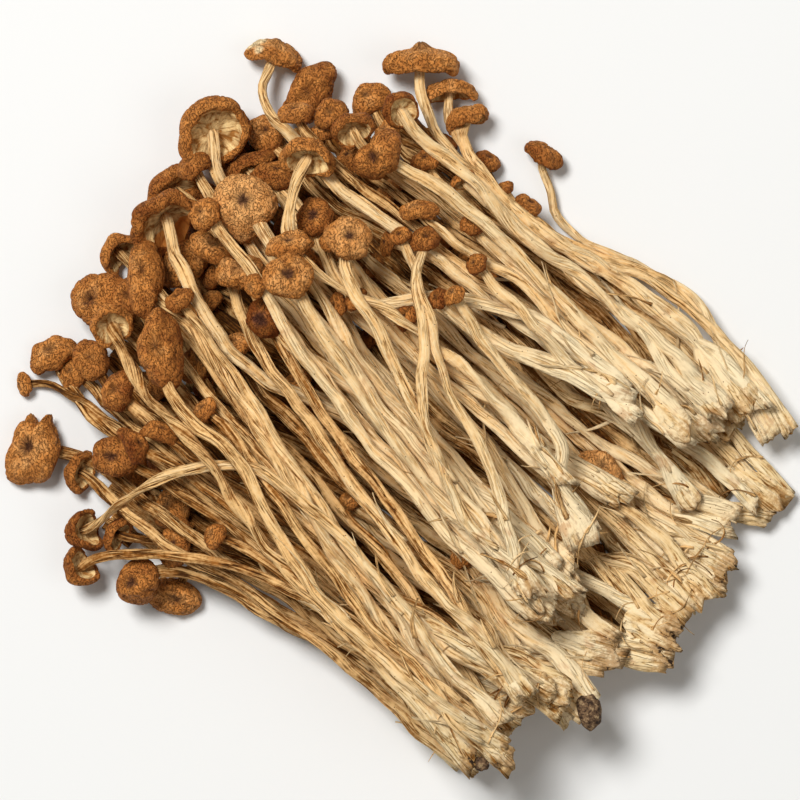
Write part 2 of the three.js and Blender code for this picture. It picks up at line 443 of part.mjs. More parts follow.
// Lays one clump on what is there and returns the heights of each mushroom's sections. A cap moves with
// its neck as one, and the sections near the root are shared by the whole clump.
function settle(mushrooms) {
  const sharedCount = mushrooms.length > 1 ? SHARED_SECTIONS : 0;
  let count = sharedCount;
  const seats = mushrooms.map(({ stations, levels }) => stations.map((_, i) => {
    const onCap = i >= stations.length - 2;
    const level = onCap ? levels[i] - levels[stations.length - 1] : 0;
    if (i < sharedCount) return { height: i, level };
    if (i < stations.length - 1) count += 1;
    return { height: count - 1, level };
  }));
  const heights = new Array(count).fill(0);
  const heightsOf = (m) => seats[m].map(({ height, level }) => heights[height] + level);
  const stiffness = mushrooms.flatMap((mushroom, m) => stiffnessRules(mushroom, seats[m]));
  for (let pass = 0; pass < MOST_PASSES; pass++) {
    const contact = mushrooms.flatMap((mushroom, m) => contactRules(mushroom, seats[m], heightsOf(m)));
    const broken = contact.filter((rule) => shortfall(rule, heights) > CLOSE_ENOUGH);
    if (pass > 0 && !broken.length) return mushrooms.map((_, m) => heightsOf(m));
    for (const { terms, needed } of pass === 0 ? contact : broken) {
      for (const { height, share } of terms) {
        if (share > LEAST_SHARE) heights[height] = Math.max(heights[height], needed);
      }
    }
    raiseToFit(stiffness, heights);
    if (pass < LOWERING_PASSES) lowerWithin([...contact, ...stiffness], heights);
    else heights.forEach((height, i) => (heights[i] = height + LIFT));
  }
  throw new Error("a clump did not come to rest");
}

// How far a rule's weighted heights fall short of what it needs.
function shortfall({ terms, needed }, heights) {
  return needed - terms.reduce((sum, { height, share }) => sum + share * heights[height], 0);
}

// Lifts each rule's first height until no stiffness rule is broken.
function raiseToFit(rules, heights) {
  for (let sweep = 0; sweep < RAISING_SWEEPS; sweep++) {
    let worst = 0;
    for (const rule of rules) {
      const short = shortfall(rule, heights);
      if (short <= 0) continue;
      heights[rule.terms[0].height] += short / rule.terms[0].share;
      worst = Math.max(worst, short);
    }
    if (worst < CLOSE_ENOUGH) return;
  }
}

// Lets each height down in turn as far as every rule that it carries allows.
function lowerWithin(rules, heights) {
  const carried = heights.map(() => []);
  for (const rule of rules) {
    for (const term of rule.terms) {
      if (term.share > LEAST_SHARE) carried[term.height].push({ rule, term });
    }
  }
  for (let sweep = 0; sweep < LOWERING_SWEEPS; sweep++) {
    let moved = 0;
    carried.forEach((bound, i) => {
      const room = Math.min(...bound.map(({ rule, term }) => -shortfall(rule, heights) / term.share));
      if (room <= 0) return;
      moved = Math.max(moved, room);
      heights[i] -= room;
    });
    if (moved < CLOSE_ENOUGH) return;
  }
}

// A stem climbs no steeper than MAX_SLOPE and sags no more than MAX_SAG below its neighbours' chord.
function stiffnessRules({ stations }, seats) {
  const runs = stations.slice(1).map((at, i) => Math.hypot(at.x - stations[i].x, at.y - stations[i].y));
  const rules = [];
  const rule = (parts, needed) => {
    const raised = parts.reduce((sum, [i, share]) => sum + share * seats[i].level, 0);
    const terms = parts.map(([i, share]) => ({ height: seats[i].height, share }));
    rules.push({ terms, needed: needed - raised });
  };
  for (let i = 0; i < stations.length - 2; i++) {
    rule([[i, 1], [i + 1, -1]], -MAX_SLOPE * runs[i]);
    if (i > 0) rule([[i, 1], [i - 1, -1]], -MAX_SLOPE * runs[i - 1]);
    if (i > 0) {
      const part = runs[i - 1] / (runs[i - 1] + runs[i]);
      rule([[i, 1], [i - 1, part - 1], [i + 1, -part]], -MAX_SAG);
    }
  }
  return rules;
}

// What the height map asks of a mushroom: its underside stays GAP above every cell below it.
function contactRules(mushroom, seats, heights) {
  const { stations } = mushroom;
  const last = stations.length - 1;
  const most = new Map();
  const note = (key, needed) => most.set(key, Math.max(most.get(key) ?? -Infinity, needed));
  const stem = stemGeometry(mushroom, heights);
  overTriangles(stem.geometry, stem.along, (a, b, c, sections) => {
    const low = Math.min(...sections, last - 1);
    const from = stations[low];
    const to = stations[low + 1];
    const run = new THREE.Vector2(to.x - from.x, to.y - from.y);
    const single = Math.max(...sections) === Math.min(...sections);
    overCells(a, b, c, (cell, bottom, _, x, y) => {
      let part = ((x - from.x) * run.x + (y - from.y) * run.y) / Math.max(run.lengthSq(), 1e-6);
      if (single) part = sections[0] - low;
      const bin = Math.round(THREE.MathUtils.clamp(part, 0, 1) * CONTACT_BINS);
      const middle = heights[low] + ((heights[low + 1] - heights[low]) * bin) / CONTACT_BINS;
      note(low * (CONTACT_BINS + 1) + bin, heightMap[cell] + GAP + middle - bottom);
    });
  });
  const cap = capGeometry(mushroom, heights[last]);
  overTriangles(cap, new Float32Array(cap.attributes.position.count), (a, b, c) => {
    overCells(a, b, c, (cell, bottom) => note(-1, heightMap[cell] + GAP + heights[last] - bottom));
  });
  return [...most].map(([key, needed]) => {
    if (key < 0) return { terms: [{ height: seats[last].height, share: 1 }], needed };
    const low = Math.floor(key / (CONTACT_BINS + 1));
    const part = (key % (CONTACT_BINS + 1)) / CONTACT_BINS;
    const raised = (1 - part) * seats[low].level + part * seats[low + 1].level;
    const near = { height: seats[low].height, share: 1 - part };
    const far = { height: seats[low + 1].height, share: part };
    const terms = near.height === far.height ? [{ height: near.height, share: 1 }] : [near, far];
    return { terms, needed: needed - raised };
  });
}

// Raises the height map to a settled mesh's upper surface.
function press(geometry) {
  overTriangles(geometry, new Float32Array(geometry.attributes.position.count), (a, b, c) => {
    overCells(a, b, c, (cell, _, top) => {
      heightMap[cell] = Math.max(heightMap[cell], top);
    });
  });
}

function solidFrom(geometry) {
  return new wasm.Manifold(new wasm.Mesh({
    numProp: 3,
    vertProperties: new Float32Array(geometry.attributes.position.array),
    triVerts: new Uint32Array(geometry.index.array),
  }));
}

function geometryFrom(solid) {
  const mesh = solid.getMesh();
  const places = new Float32Array(mesh.numVert * 3);
  for (let v = 0; v < mesh.numVert; v++) {
    for (let k = 0; k < 3; k++) places[3 * v + k] = mesh.vertProperties[v * mesh.numProp + k];
  }
  const geometry = new THREE.BufferGeometry();
  geometry.setAttribute("position", new THREE.BufferAttribute(places, 3));
  geometry.setIndex(new THREE.BufferAttribute(new Uint32Array(mesh.triVerts), 1));
  return geometry.toNonIndexed();
}

// Settles a clump, joins its stems and caps into one body and returns its mesh.
function makeClump(name, root, members) {
  const mushrooms = members.map((member, i) => {
    const side = (i - (members.length - 1) / 2) * CLUMP_SPACING;
    return planMushroom(member, root, side);
  });
  const heights = settle(mushrooms);
  const parts = mushrooms.flatMap((mushroom, m) => [
    stemGeometry(mushroom, heights[m]).geometry,
    capGeometry(mushroom, heights[m][heights[m].length - 1]),
  ]);
  parts.forEach(press);
  const whole = parts.map(solidFrom).reduce((sum, part) => sum.add(part)).simplify(SLIVER);
  const [body] = whole.decompose().sort((a, b) => b.volume() - a.volume());
  const geometry = geometryFrom(body);
  geometry.computeVertexNormals();
  const material = new THREE.MeshStandardMaterial({
    color: STEM_COLOUR, roughness: STEM_ROUGHNESS, metalness: 0, flatShading: true,
  });
  const mesh = new THREE.Mesh(geometry, material);
  mesh.name = name;
  return mesh;
}

// The seeded lower mushrooms, two to a clump: roots spread along one arc and caps along the other.
function fillClumps() {
  const random = randomFrom(FILL_SEED);
  const arcThrough = (points) =>
    new THREE.CatmullRomCurve3(points.map(([x, y]) => new THREE.Vector3(x, y, 0)));
  const rootArc = arcThrough(ROOT_ARC);
  const capArc = arcThrough(CAP_ARC);
  const between = ([least, most]) => least + (most - least) * random();
  return Array.from({ length: FILL_CLUMPS }, (_, k) => {
    const root = rootArc.getPointAt((k + 0.5) / FILL_CLUMPS);
    const members = [-FILL_SPREAD, FILL_SPREAD].map((aside) => {
      const cap = capArc.getPointAt((k + 0.5 + aside) / FILL_CLUMPS);
      cap.lerp(root, between([0, FILL_SHORTER]));
      const bend = between([-FILL_BEND, FILL_BEND]);
      const run = cap.clone().sub(root);
      const route = FILL_ROUTE.map((part) => {
        const off = (bend * Math.sin(Math.PI * part)) / run.length();
        return [root.x + run.x * part - run.y * off, root.y + run.y * part + run.x * off];
      });
      const across = between(FILL_CAP);
      const heading = THREE.MathUtils.radToDeg(Math.atan2(run.y, run.x));
      const width = between(FILL_STEM);
      return [width, across, across * 0.9, heading, between(FILL_LEAN), FILL_FOLD, route];
    });
    return ["hidden_" + String(k + 1).padStart(2, "0"), [root.x, root.y], members];
  });
}

const bunch = new THREE.Group();
for (const [name, root, members] of [...fillClumps(), ...CLUMPS]) {
  bunch.add(makeClump(name, root, members));
}
bunch.position.set(-CENTRE[0], -CENTRE[1], 0);

export default bunch;
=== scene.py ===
"""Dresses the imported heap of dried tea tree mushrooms: each packed clump is covered by one detailed piece
with fibrous stems, wrinkled caps, gills, torn roots and soil, and the whole lies on a pale studio floor."""

import json
import math

import bmesh
import bpy
import numpy as np
from bpy.props import FloatProperty, FloatVectorProperty, IntProperty, PointerProperty
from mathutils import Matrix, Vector
from mathutils.bvhtree import BVHTree

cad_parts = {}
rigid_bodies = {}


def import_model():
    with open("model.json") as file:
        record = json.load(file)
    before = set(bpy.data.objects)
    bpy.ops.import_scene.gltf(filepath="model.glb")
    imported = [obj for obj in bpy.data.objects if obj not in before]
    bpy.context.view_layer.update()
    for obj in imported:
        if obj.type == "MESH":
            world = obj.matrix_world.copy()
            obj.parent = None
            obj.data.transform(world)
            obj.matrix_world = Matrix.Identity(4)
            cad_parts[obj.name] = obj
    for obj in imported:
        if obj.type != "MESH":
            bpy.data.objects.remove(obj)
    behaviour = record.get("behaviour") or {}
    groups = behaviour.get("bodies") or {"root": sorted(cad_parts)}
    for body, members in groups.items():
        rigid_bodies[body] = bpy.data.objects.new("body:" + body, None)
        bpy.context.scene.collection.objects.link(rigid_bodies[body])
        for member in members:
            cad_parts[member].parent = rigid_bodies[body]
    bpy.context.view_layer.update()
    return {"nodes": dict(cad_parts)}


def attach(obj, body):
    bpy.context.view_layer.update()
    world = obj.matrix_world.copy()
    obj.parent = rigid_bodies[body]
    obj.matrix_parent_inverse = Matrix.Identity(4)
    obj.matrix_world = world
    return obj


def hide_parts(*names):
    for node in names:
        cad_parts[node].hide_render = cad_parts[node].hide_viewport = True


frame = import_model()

bl_info = {
    "name": "Dried Tea Tree Mushrooms",
    "version": (1, 0, 0),
    "blender": (4, 5, 0),
    "location": "3D View > Sidebar > Mushrooms",
    "description": "Covers a packed heap of dried mushrooms with detailed stems and caps",
    "category": "Object",
}

MM = 0.001
CENTRE = np.array([1.15, -2.2, 0.0])  # middle of the heap's box in the plan that CLUMPS uses, in mm
ABOVE = 200.0  # in mm: a height over everything in the heap
FLOOR_GAP = 2e-5  # in metres: nothing dips under the surface that the heap lies on

# The stage, in metres and watts.
CAMERA_HEIGHT = 2.0  # over the surface
VIEW_LEVEL = 0.014  # the height at which the camera sees VIEW_WIDTH from side to side
VIEW_WIDTH = 0.256
SENSOR = 36  # in mm
FLOOR_REACH = 3  # from the middle to each side
WORLD_STRENGTH = 0.2
LIGHTS = {"key": ((-1.05, 1.15, 2.9), 1.1, 112.0), "fill": ((1.6, -0.6, 2.4), 1.8, 10.0)}  # place, size, W

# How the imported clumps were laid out, in mm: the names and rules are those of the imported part.
CLUMP_SPACING = 4.2  # between the stems of a clump at the cut end
STEM_STEP = 24.5  # most distance between two sections of a stem
FUSED_LENGTH = 24  # how far from the cut end the stems of a clump stay together
FLARE_LENGTH = 62  # how far from the cut end a stem is wider
ROOT_FLARE = 1.75  # width at the cut end over width along the stem
ROOT_SWELL = 1.25  # thickness at the cut end over thickness along the stem
STEM_FLATNESS = 0.64  # a stem's thickness over its width
NECK_LENGTH = 3.6  # straight stretch of stem just under a cap
TIP_DEPTH = 0.14  # how far the stem's tip stands above the cap's middle, over the cap's mean radius
CAP_SIDES = 8
CAP_PROFILE = [[0, -0.05], [0.82, -0.3], [1, -0.08], [0.74, 0.36], [0, 0.5]]  # radius and height

# A clump has a name, the plan position of its cut root, and its mushrooms. A mushroom has its stem's width,
# its cap's width across and along its heading, the cap's heading and lean in degrees, its fold, and plan
# points from the middle of the cap towards the root. A lean of 0 faces up, 90 sideways and 180 down.
CLUMPS = [
  ["far_right_low", [123, -35], [
    [3.2, 7, 6, 150, 50, 0, [[30, 58], [36, 52], [50, 42], [70, 28], [88, 8], [106, -15]]],
    [3.6, 8, 7, 160, 30, 0, [[19, 46], [28, 44], [45, 34], [66, 18], [90, -2], [108, -20]]],
    [4.6, 9, 8, 150, 50, 0, [[28, 38], [36, 26], [48, 10], [60, -3], [76, -16], [98, -28]]]]],
  ["right_low", [112, -38], [
    [3.4, 11, 9, 150, 40, 0.2, [[11, 49], [22, 42], [40, 30], [60, 14], [80, -6], [98, -24]]],
    [3.8, 10, 9, 140, 40, 0.3, [[-10, 43], [0, 38], [18, 25], [38, 8], [60, -10], [86, -28]]],
    [4.8, 9, 8, 140, 50, 0, [[16, 40], [24, 28], [36, 10], [48, -4], [62, -16], [84, -32]]]]],
  ["orange_cap_low", [105, -55], [
    [3.6, 18, 12, 60, 25, 0.3, [[64, -22], [72, -27], [80, -35], [88, -45]]],
    [4.2, 12, 11, 145, 50, 0.2, [[-24, 46], [-14, 38], [6, 22], [28, 4], [50, -14], [72, -32]]],
    [4.6, 9, 8, 140, 50, 0, [[-14, 48], [-5, 40], [10, 27], [24, 14], [39, 0], [58, -20], [78, -40]]]]],
  ["short_root_low", [100, -67], [
    [3.6, 9, 9, 140, 60, 0, [[2, 24], [12, 16], [32, -2], [54, -20], [78, -40]]],
    [4.8, 9, 8, 140, 50, 0, [[6, 18], [16, 8], [36, -10], [54, -26], [70, -40], [88, -56]]]]],
  ["soil_root_low", [86, -76], [
    [4.4, 12, 11, 140, 50, 0, [[-38, 32], [-28, 24], [-8, 8], [14, -10], [36, -28], [60, -50]]],
    [4.0, 10, 9, 130, 40, 0, [[-33, 6], [-22, -2], [-4, -16], [16, -32], [38, -48], [60, -62]]],
    [5.2, 9, 8, 140, 50, 0, [[-10, 20], [-1, 10], [13, -4], [26, -15], [41, -29], [65, -53]]],
    [4.6, 9, 8, 130, 50, 0, [[-18, -16], [-9, -26], [4, -38], [18, -50], [40, -62], [64, -72]]],
    [4.2, 9, 8, 130, 50, 0, [[36, -42], [44, -50], [58, -63], [72, -74]]]]],
  ["sharp_root_low", [70, -82], [
    [3.6, 9, 6, 120, 60, 0, [[-30, -4], [-20, -12], [-2, -26], [18, -42], [38, -58], [56, -72]]],
    [3.8, 9, 9, 120, 40, 0.2, [[-46, -13], [-36, -21], [-16, -36], [6, -52], [28, -68], [50, -80]]],
    [4.6, 10, 9, 120, 50, 0, [[-42, -18], [-33, -26], [-20, -36], [-6, -48], [12, -61], [38, -76]]]]],
  ["black_root", [60, -101], [
    [4.6, 9, 8, 120, 30, 0.2, [[20, -50], [26, -57], [36, -70], [47, -84]]],
    [4.2, 8, 6, 140, 60, 0, [[-54, -36], [-44, -40], [-24, -48], [-2, -62], [20, -76], [42, -90]]],
    [5.4, 9, 8, 120, 50, 0, [[-16, -32], [-8, -38], [6, -47], [20, -58], [42, -80]]]]],
  ["front_low", [38, -104], [
    [3.8, 9, 6, 150, 60, 0, [[-53, -55], [-43, -55], [-24, -63], [-6, -74], [12, -86]]],
    [4.2, 18, 11, 170, 15, 0.4, [[-72, -46], [-62, -48], [-44, -55], [-24, -66], [-4, -79],
      [16, -92]]],
    [3.4, 13, 10, 150, 120, 0.3, [[-91, -43], [-84, -44], [-66, -49], [-44, -58], [-22, -70], [4, -85]]]]],
  ["front_edge", [23, -117], [
    [3.8, 20, 13, 250, 20, 0.3, [[-72, -63], [-68, -54], [-58, -55], [-43, -65], [-23, -75],
      [-4, -89], [11, -104]]],
    [4.0, 16, 17, 190, 30, 0.4, [[-84, -58], [-76, -54], [-60, -58], [-42, -69], [-21, -79],
      [-1, -94]]]]],
  ["left_torn", [26, -117], [
    [4.0, 24, 18, 170, 22, 0, [[-118, -15], [-109, -17], [-98, -20], [-82, -32], [-60, -48],
      [-38, -62], [-15, -79], [8, -98]]],
    [3.6, 15, 12, 165, 125, 0, [[-103, -23], [-96, -28], [-88, -36], [-72, -47], [-50, -60],
      [-28, -76], [-6, -94]]]]],
  ["left_low", [44, -98], [
    [3.8, 17, 12, 120, 35, 0.2, [[-112, 15], [-106, 3], [-97, -6], [-82, -16], [-60, -32],
      [-38, -48], [-14, -66], [12, -84]]],
    [2.8, 9, 6, 190, 60, 0, [[-121, 5], [-113, 5], [-103, 0], [-88, -10], [-66, -26], [-44, -42],
      [-20, -60], [8, -80]]],
    [3.6, 12, 11, 150, 35, 0, [[-105, 9], [-98, 3], [-86, -8], [-68, -22], [-44, -42], [-18, -63],
      [10, -84]]]]],
  ["left_shade", [54, -96], [
    [3.6, 12, 15, 120, 20, 0, [[-99, 13], [-93, 4], [-80, -4], [-58, -20], [-36, -37], [-12, -56],
      [14, -74]]],
    [4.0, 11, 16, 60, 30, 0.2, [[-65, 12], [-62, 3], [-56, -8], [-46, -21], [-28, -38], [-6, -58],
      [20, -78]]],
    [4.6, 13, 11, 120, 50, 0, [[-53, 17], [-45, 5], [-31, -11], [-14, -29], [4, -50], [28, -74]]]]],
  ["left_round", [33, -108], [
    [3.6, 13, 17, 170, 20, 0.1, [[-91, -18], [-83, -22], [-70, -29], [-54, -40], [-36, -55],
      [-16, -72], [6, -90]]],
    [3.8, 18, 16, 130, 35, 0.2, [[-70, 44], [-65, 34], [-58, 16], [-46, -4], [-28, -24], [-8, -47],
      [14, -76]]],
    [4.2, 14, 12, 160, 40, 0.2, [[-90, 3], [-83, -4], [-72, -13], [-56, -27], [-36, -45], [-12, -67],
      [10, -87]]]]],
  ["orange_pair", [48, -92], [
    [3.2, 14, 8, 30, 40, 0.6, [[-84, -14], [-76, -19], [-60, -29], [-40, -43], [-18, -58],
      [8, -75]]],
    [3.2, 13, 7, 70, 40, 0.6, [[-76, -10], [-68, -16], [-52, -27], [-32, -41], [-10, -56],
      [16, -72]]]]],
  ["back_right_dark", [108, -7], [
    [3.8, 14, 12, 130, 40, 0.2, [[-10, 97], [-6, 89], [4, 81], [18, 72], [34, 60], [54, 46],
      [74, 31], [92, 13]]],
    [3.6, 11, 10, 140, 60, 0, [[-4, 86], [4, 77], [18, 67], [36, 54], [56, 42], [76, 30]]],
    [3.2, 10, 9, 60, 60, 0, [[28, 77], [30, 70], [36, 62], [50, 50], [68, 38], [86, 22]]],
    [3.4, 12, 9, 130, 50, 0, [[-16, 77], [-6, 69], [10, 58], [30, 44], [54, 28], [80, 8]]]]],
  ["far_right_thin", [122, -13], [
    [3.0, 10, 8, 60, 60, 0, [[41, 62.5], [44, 57], [56, 48], [74, 41], [91, 31], [106, 13]]],
    [3.4, 8, 7, 130, 60, 0, [[33, 67], [40, 58], [54, 50], [73, 43], [91, 34], [106, 15]]],
    [2.8, 14, 11, 60, 75, 0, [[46, 79], [47, 70], [51, 59], [61, 49], [78, 43], [96, 31],
      [109, 12]]]]],
  ["top_left_brown", [76, -6], [
    [3.8, 10, 6, 90, 50, 0, [[-25, 85], [-25, 77], [-18, 65], [-2, 55], [18, 44], [38, 30],
      [58, 12]]],
    [4.2, 14, 13, 120, 20, 0, [[-43, 86], [-38, 79], [-28, 68], [-10, 56], [8, 42], [28, 26],
      [50, 6]]]]],
  ["top_oval", [88, -8], [
    [3.8, 25, 14, 140, 25, 0, [[-29, 98], [-22, 90], [-10, 80], [6, 67], [24, 53], [44, 38],
      [66, 16]]],
    [3.6, 12, 10, 110, 25, 0.3, [[-22, 91], [-15, 83], [-2, 72], [14, 60], [32, 46], [52, 28],
      [72, 6]]]]],
  ["top_gilled", [100, -11], [
    [3.8, 15, 13, 105, 130, 0, [[-15, 86], [-12, 80], [-2, 73], [12, 64], [28, 52], [46, 37],
      [66, 20], [86, 2]]],
    [3.4, 10, 8, 100, 40, 0, [[8, 76], [12, 69], [20, 59], [34, 46], [52, 30], [72, 12], [88, -2]]]]],
  ["mid_row", [94, -34], [
    [3.0, 9, 6, 170, 50, 0, [[-4, 50], [4, 47], [18, 41], [36, 28], [56, 8], [76, -14]]],
    [3.4, 8, 9, 60, 20, 0.2, [[23, 56], [28, 49], [40, 38], [56, 22], [72, 2], [86, -20]]]]],
  ["back_left_gills", [57, -59], [
    [4.0, 21, 16, 130, 135, 0.2, [[-73, 68], [-66, 62], [-56, 49], [-42, 33], [-24, 15], [-4, -5],
      [18, -26], [40, -46]]],
    [3.4, 17, 8, 110, 70, 0.4, [[-66, 66], [-60, 59], [-50, 45], [-36, 29], [-18, 11], [2, -9],
      [24, -30]]]]],
  ["left_gills", [24, -95], [
    [3.8, 15, 14, 140, 120, 0.3, [[-91, 48], [-84, 41], [-74, 29], [-62, 13], [-46, -8],
      [-30, -30], [-12, -54], [8, -78]]]]],
  ["left_large", [38, -90], [
    [4.2, 20, 17, 160, 18, 0, [[-98, 32], [-90, 25], [-78, 12], [-64, -3], [-46, -22], [-26, -42],
      [-4, -62], [18, -78]]],
    [3.6, 15, 14, 140, 30, 0.1, [[-86, 33], [-79, 24], [-67, 9], [-53, -7], [-35, -28], [-15, -50],
      [8, -72]]]]],
  ["upper_gilled_lobe", [73, -33], [
    [3.6, 19, 10, 120, 115, 0.2, [[-49, 75], [-42, 68], [-32, 56], [-18, 40], [0, 24], [20, 6],
      [44, -14]]],
    [3.6, 16, 10, 80, 40, 0.3, [[-40, 72], [-34, 64], [-24, 52], [-10, 36], [8, 20], [28, 2],
      [52, -18]]]]],
  ["top_torn", [74, -2], [
    [4.0, 21, 13, 75, 72, 0.3, [[-40, 112], [-43, 105], [-44, 98], [-38, 88], [-26, 74],
      [-12, 62], [6, 49], [26, 33], [48, 14]]],
    [3.4, 12, 10, 100, 60, 0, [[-33, 91], [-27, 82], [-15, 70], [1, 58], [19, 43], [40, 26]]]]],
  ["umbrella_trio", [113, -5], [
    [3.6, 25, 20, 90, 86, 0, [[6.7, 109], [5.5, 103], [9, 92], [17, 79], [29, 67], [45, 53],
      [64, 42], [83, 27], [100, 10]]],
    [3.6, 18, 13, 95, 100, 0.3, [[16, 100], [15, 94], [18, 85], [26, 73], [38, 60], [54, 48],
      [72, 37], [90, 22], [104, 6]]],
    [3.8, 15, 14, 110, 95, 0.2, [[21.5, 91], [19, 86], [24, 76], [33, 64], [46, 53], [62, 44],
      [80, 33], [96, 18], [108, 3]]]]],
  ["pale_curled", [104, -6], [
    [4.4, 13, 13, 150, 145, 0, [[0, 92], [3, 86], [12, 79], [23, 70], [33, 58], [46, 47],
      [62, 36], [80, 20], [94, 4]]],
    [3.2, 9, 8, 120, 120, 0, [[20, 70], [25, 65], [34, 60], [43, 50], [58, 38], [76, 23], [92, 6]]]]],
  ["kidney_right", [92, -12], [
    [4.2, 18, 15, 200, 25, 0.5, [[-7, 77], [3, 72], [13, 67], [25, 57], [37, 46], [50, 33],
      [62, 19], [76, 4]]],
    [3.4, 14, 8, 95, 60, 0, [[6, 60], [11, 55], [22, 47], [38, 37], [52, 24], [66, 10], [80, -3]]]]],
  ["left_folded", [47, -69], [
    [4.2, 22, 15, 120, 125, 0.3, [[-75, 59], [-73, 50], [-67, 37], [-60, 24], [-51, 12], [-36, 3],
      [-20, -4], [-4, -18], [14, -36], [32, -54]]]]],
  ["left_kidney", [20, -106], [
    [5.0, 12, 23, 100, 30, 0.3, [[-82, 40], [-77, 33], [-67, 25], [-58, 12], [-49, -2],
      [-40, -16], [-30, -32], [-18, -52], [-4, -72], [10, -92]]],
    [3.4, 10, 9, 120, 50, 0, [[-70, 32], [-63, 22], [-52, 8], [-42, -8], [-29, -27], [-14, -49],
      [2, -71]]]]],
  ["upper_large_gills", [58, -67], [
    [4.2, 26, 24, 130, 150, 0, [[-60, 86], [-59, 77], [-55, 66], [-48, 55], [-41, 46], [-33, 33],
      [-24, 18], [-12, 1], [4, -18], [22, -38], [40, -54]]],
    [3.6, 12, 11, 120, 60, 0, [[-66, 75], [-60, 64], [-51, 52], [-39, 36], [-27, 20], [-13, 0],
      [4, -20], [24, -42]]]]],
  ["dark_round", [60, -46], [
    [3.8, 13, 13, 120, 20, 0, [[-27, 58], [-25, 48], [-18, 34], [-6, 20], [10, 4], [28, -14],
      [44, -30]]]]],
  ["kidney_lobes", [42, -97], [
    [3.8, 16, 10, 60, 30, 0.2, [[-60, 49], [-56, 42], [-52, 30], [-42, 12], [-28, -8], [-12, -30],
      [6, -54], [24, -76]]],
    [3.6, 19, 14, 90, 20, 0.2, [[-51, 41], [-45, 33], [-38, 18], [-26, -2], [-10, -24], [8, -48],
      [26, -72]]]]],
  ["upper_wide_pale", [57, -58], [
    [5.4, 12, 12, 140, 60, 0, [[-32, 44], [-27, 37], [-20, 28], [-12, 15], [-2, 3], [9, -10],
      [22, -26], [40, -43]]],
    [3.6, 9, 8, 140, 50, 0, [[-22, 51], [-14, 41], [-4, 27], [7, 12], [20, -5], [36, -27]]]]],
  ["crossing_right", [76, 0], [
    [4.0, 9, 7, 170, 50, 0, [[-20, 30], [-11, 30], [2, 31], [18, 33], [32, 29], [48, 22], [62, 11]]]]],
  ["dark_red", [52, -54], [
    [3.6, 14, 13, 200, 25, 0.3, [[-43, 26], [-36, 19], [-24, 10], [-8, -2], [10, -16], [30, -34]]]]],
  ["pale_ribbon", [75, -3], [
    [5.0, 8, 7, 140, 40, 0, [[12, 32], [19, 26], [32, 17], [46, 10]]],
    [3.6, 8, 8, 150, 50, 0, [[24, 43], [30, 36], [40, 26], [52, 14]]]]],
  ["wide_ribbon", [59, -47], [
    [3.8, 9, 8, 150, 50, 0, [[-14, 32], [-5, 23], [9, 10], [25, -3], [41, -18]]],
    [6.4, 9, 8, 140, 40, 0, [[2, 26], [10, 16], [22, 6], [35, -4], [47, -18]]],
    [3.6, 8, 7, 130, 50, 0, [[17, 33], [23, 23], [32, 11], [43, -2], [52, -16]]]]],
  ["left_lobe", [30, -109], [
    [3.2, 14, 13, 215, 125, 0.3, [[-103, -54], [-97, -50], [-86, -49], [-70, -50], [-54, -52],
      [-40, -58], [-24, -66], [-6, -78], [14, -94]]],
    [3.0, 9, 8, 150, 40, 0.2, [[-59, -43], [-52, -45], [-42, -52], [-28, -61], [-8, -75],
      [12, -92]]]]],
  ["curly_long", [36, -104], [
    [3.6, 14, 15, 195, 125, 0.4, [[-102, -42], [-96, -39], [-88, -32], [-79, -26], [-67, -22],
      [-54, -20], [-44, -22], [-34, -29], [-22, -39], [-8, -54], [6, -72], [20, -90]]]]],
  ["upper_curl", [57, -64], [
    [4.2, 18, 16, 80, 130, 0.3, [[-29, 77], [-32, 71], [-35, 61], [-35, 51], [-30, 41], [-22, 27],
      [-12, 12], [0, -4], [14, -20], [30, -38], [46, -54]]]]],
  ["face_up_large", [46, -66], [
    [4.2, 23, 24, 150, 8, 0.2, [[-49, 63], [-42, 52], [-34, 38], [-24, 22], [-12, 6], [2, -12],
      [18, -32], [34, -52]]],
    [3.6, 12, 11, 150, 40, 0, [[-62, 59], [-53, 49], [-44, 36], [-34, 21], [-21, 3], [-5, -15],
      [14, -36]]]]],
  ["flat_oval", [52, -26], [
    [3.6, 16, 10, 100, 50, 0, [[-35, 49], [-28, 42], [-16, 34], [0, 25], [16, 14], [32, -2]]]]],
  ["round_middle", [48, -70], [
    [4.0, 17, 15, 100, 15, 0, [[-35, 39], [-30, 31], [-24, 20], [-16, 8], [-8, -4], [2, -18],
      [16, -34], [32, -52]]],
    [3.6, 9, 8, 200, 50, 0, [[-46, 36], [-39, 27], [-31, 15], [-21, 1], [-9, -14], [7, -33]]]]],
  ["left_gill_stem", [25, -117], [
    [4.6, 15, 14, 120, 150, 0, [[-92, 24], [-89, 17], [-84, 8], [-77, -2], [-68, -11], [-59, -20],
      [-52, -32], [-43, -45], [-31, -58], [-16, -73], [-1, -88], [13, -103]]]]],
  ["left_elongated", [36, -115], [
    [4.2, 18, 27, 95, 14, 0.3, [[-77, 16], [-74, 5], [-69, -3], [-61, -10], [-52, -18],
      [-45, -29], [-38, -43], [-28, -58], [-15, -72], [0, -86], [17, -101]]],
    [3.4, 9, 8, 140, 50, 0, [[-62, -3], [-53, -11], [-41, -27], [-27, -47], [-12, -66], [6, -86]]]]],
  ["dotted_kidney", [47, -68], [
    [4.0, 16, 14, 60, 15, 0.2, [[-16, 51], [-18, 42], [-14, 33], [-8, 24], [-3, 14], [2, 3],
      [8, -10], [15, -24], [26, -40], [37, -56]]]]],
  ["standing_pair", [42, -62], [
    [3.4, 10, 9, 90, 30, 0.3, [[8, 51], [6, 43], [6, 34], [7, 22], [7, 8], [8, -6], [12, -20],
      [19, -36], [30, -50]]],
    [3.2, 8, 6, 120, 30, 0, [[0, 52], [4, 42], [8, 30], [12, 14], [17, 0], [25, -14], [31, -28],
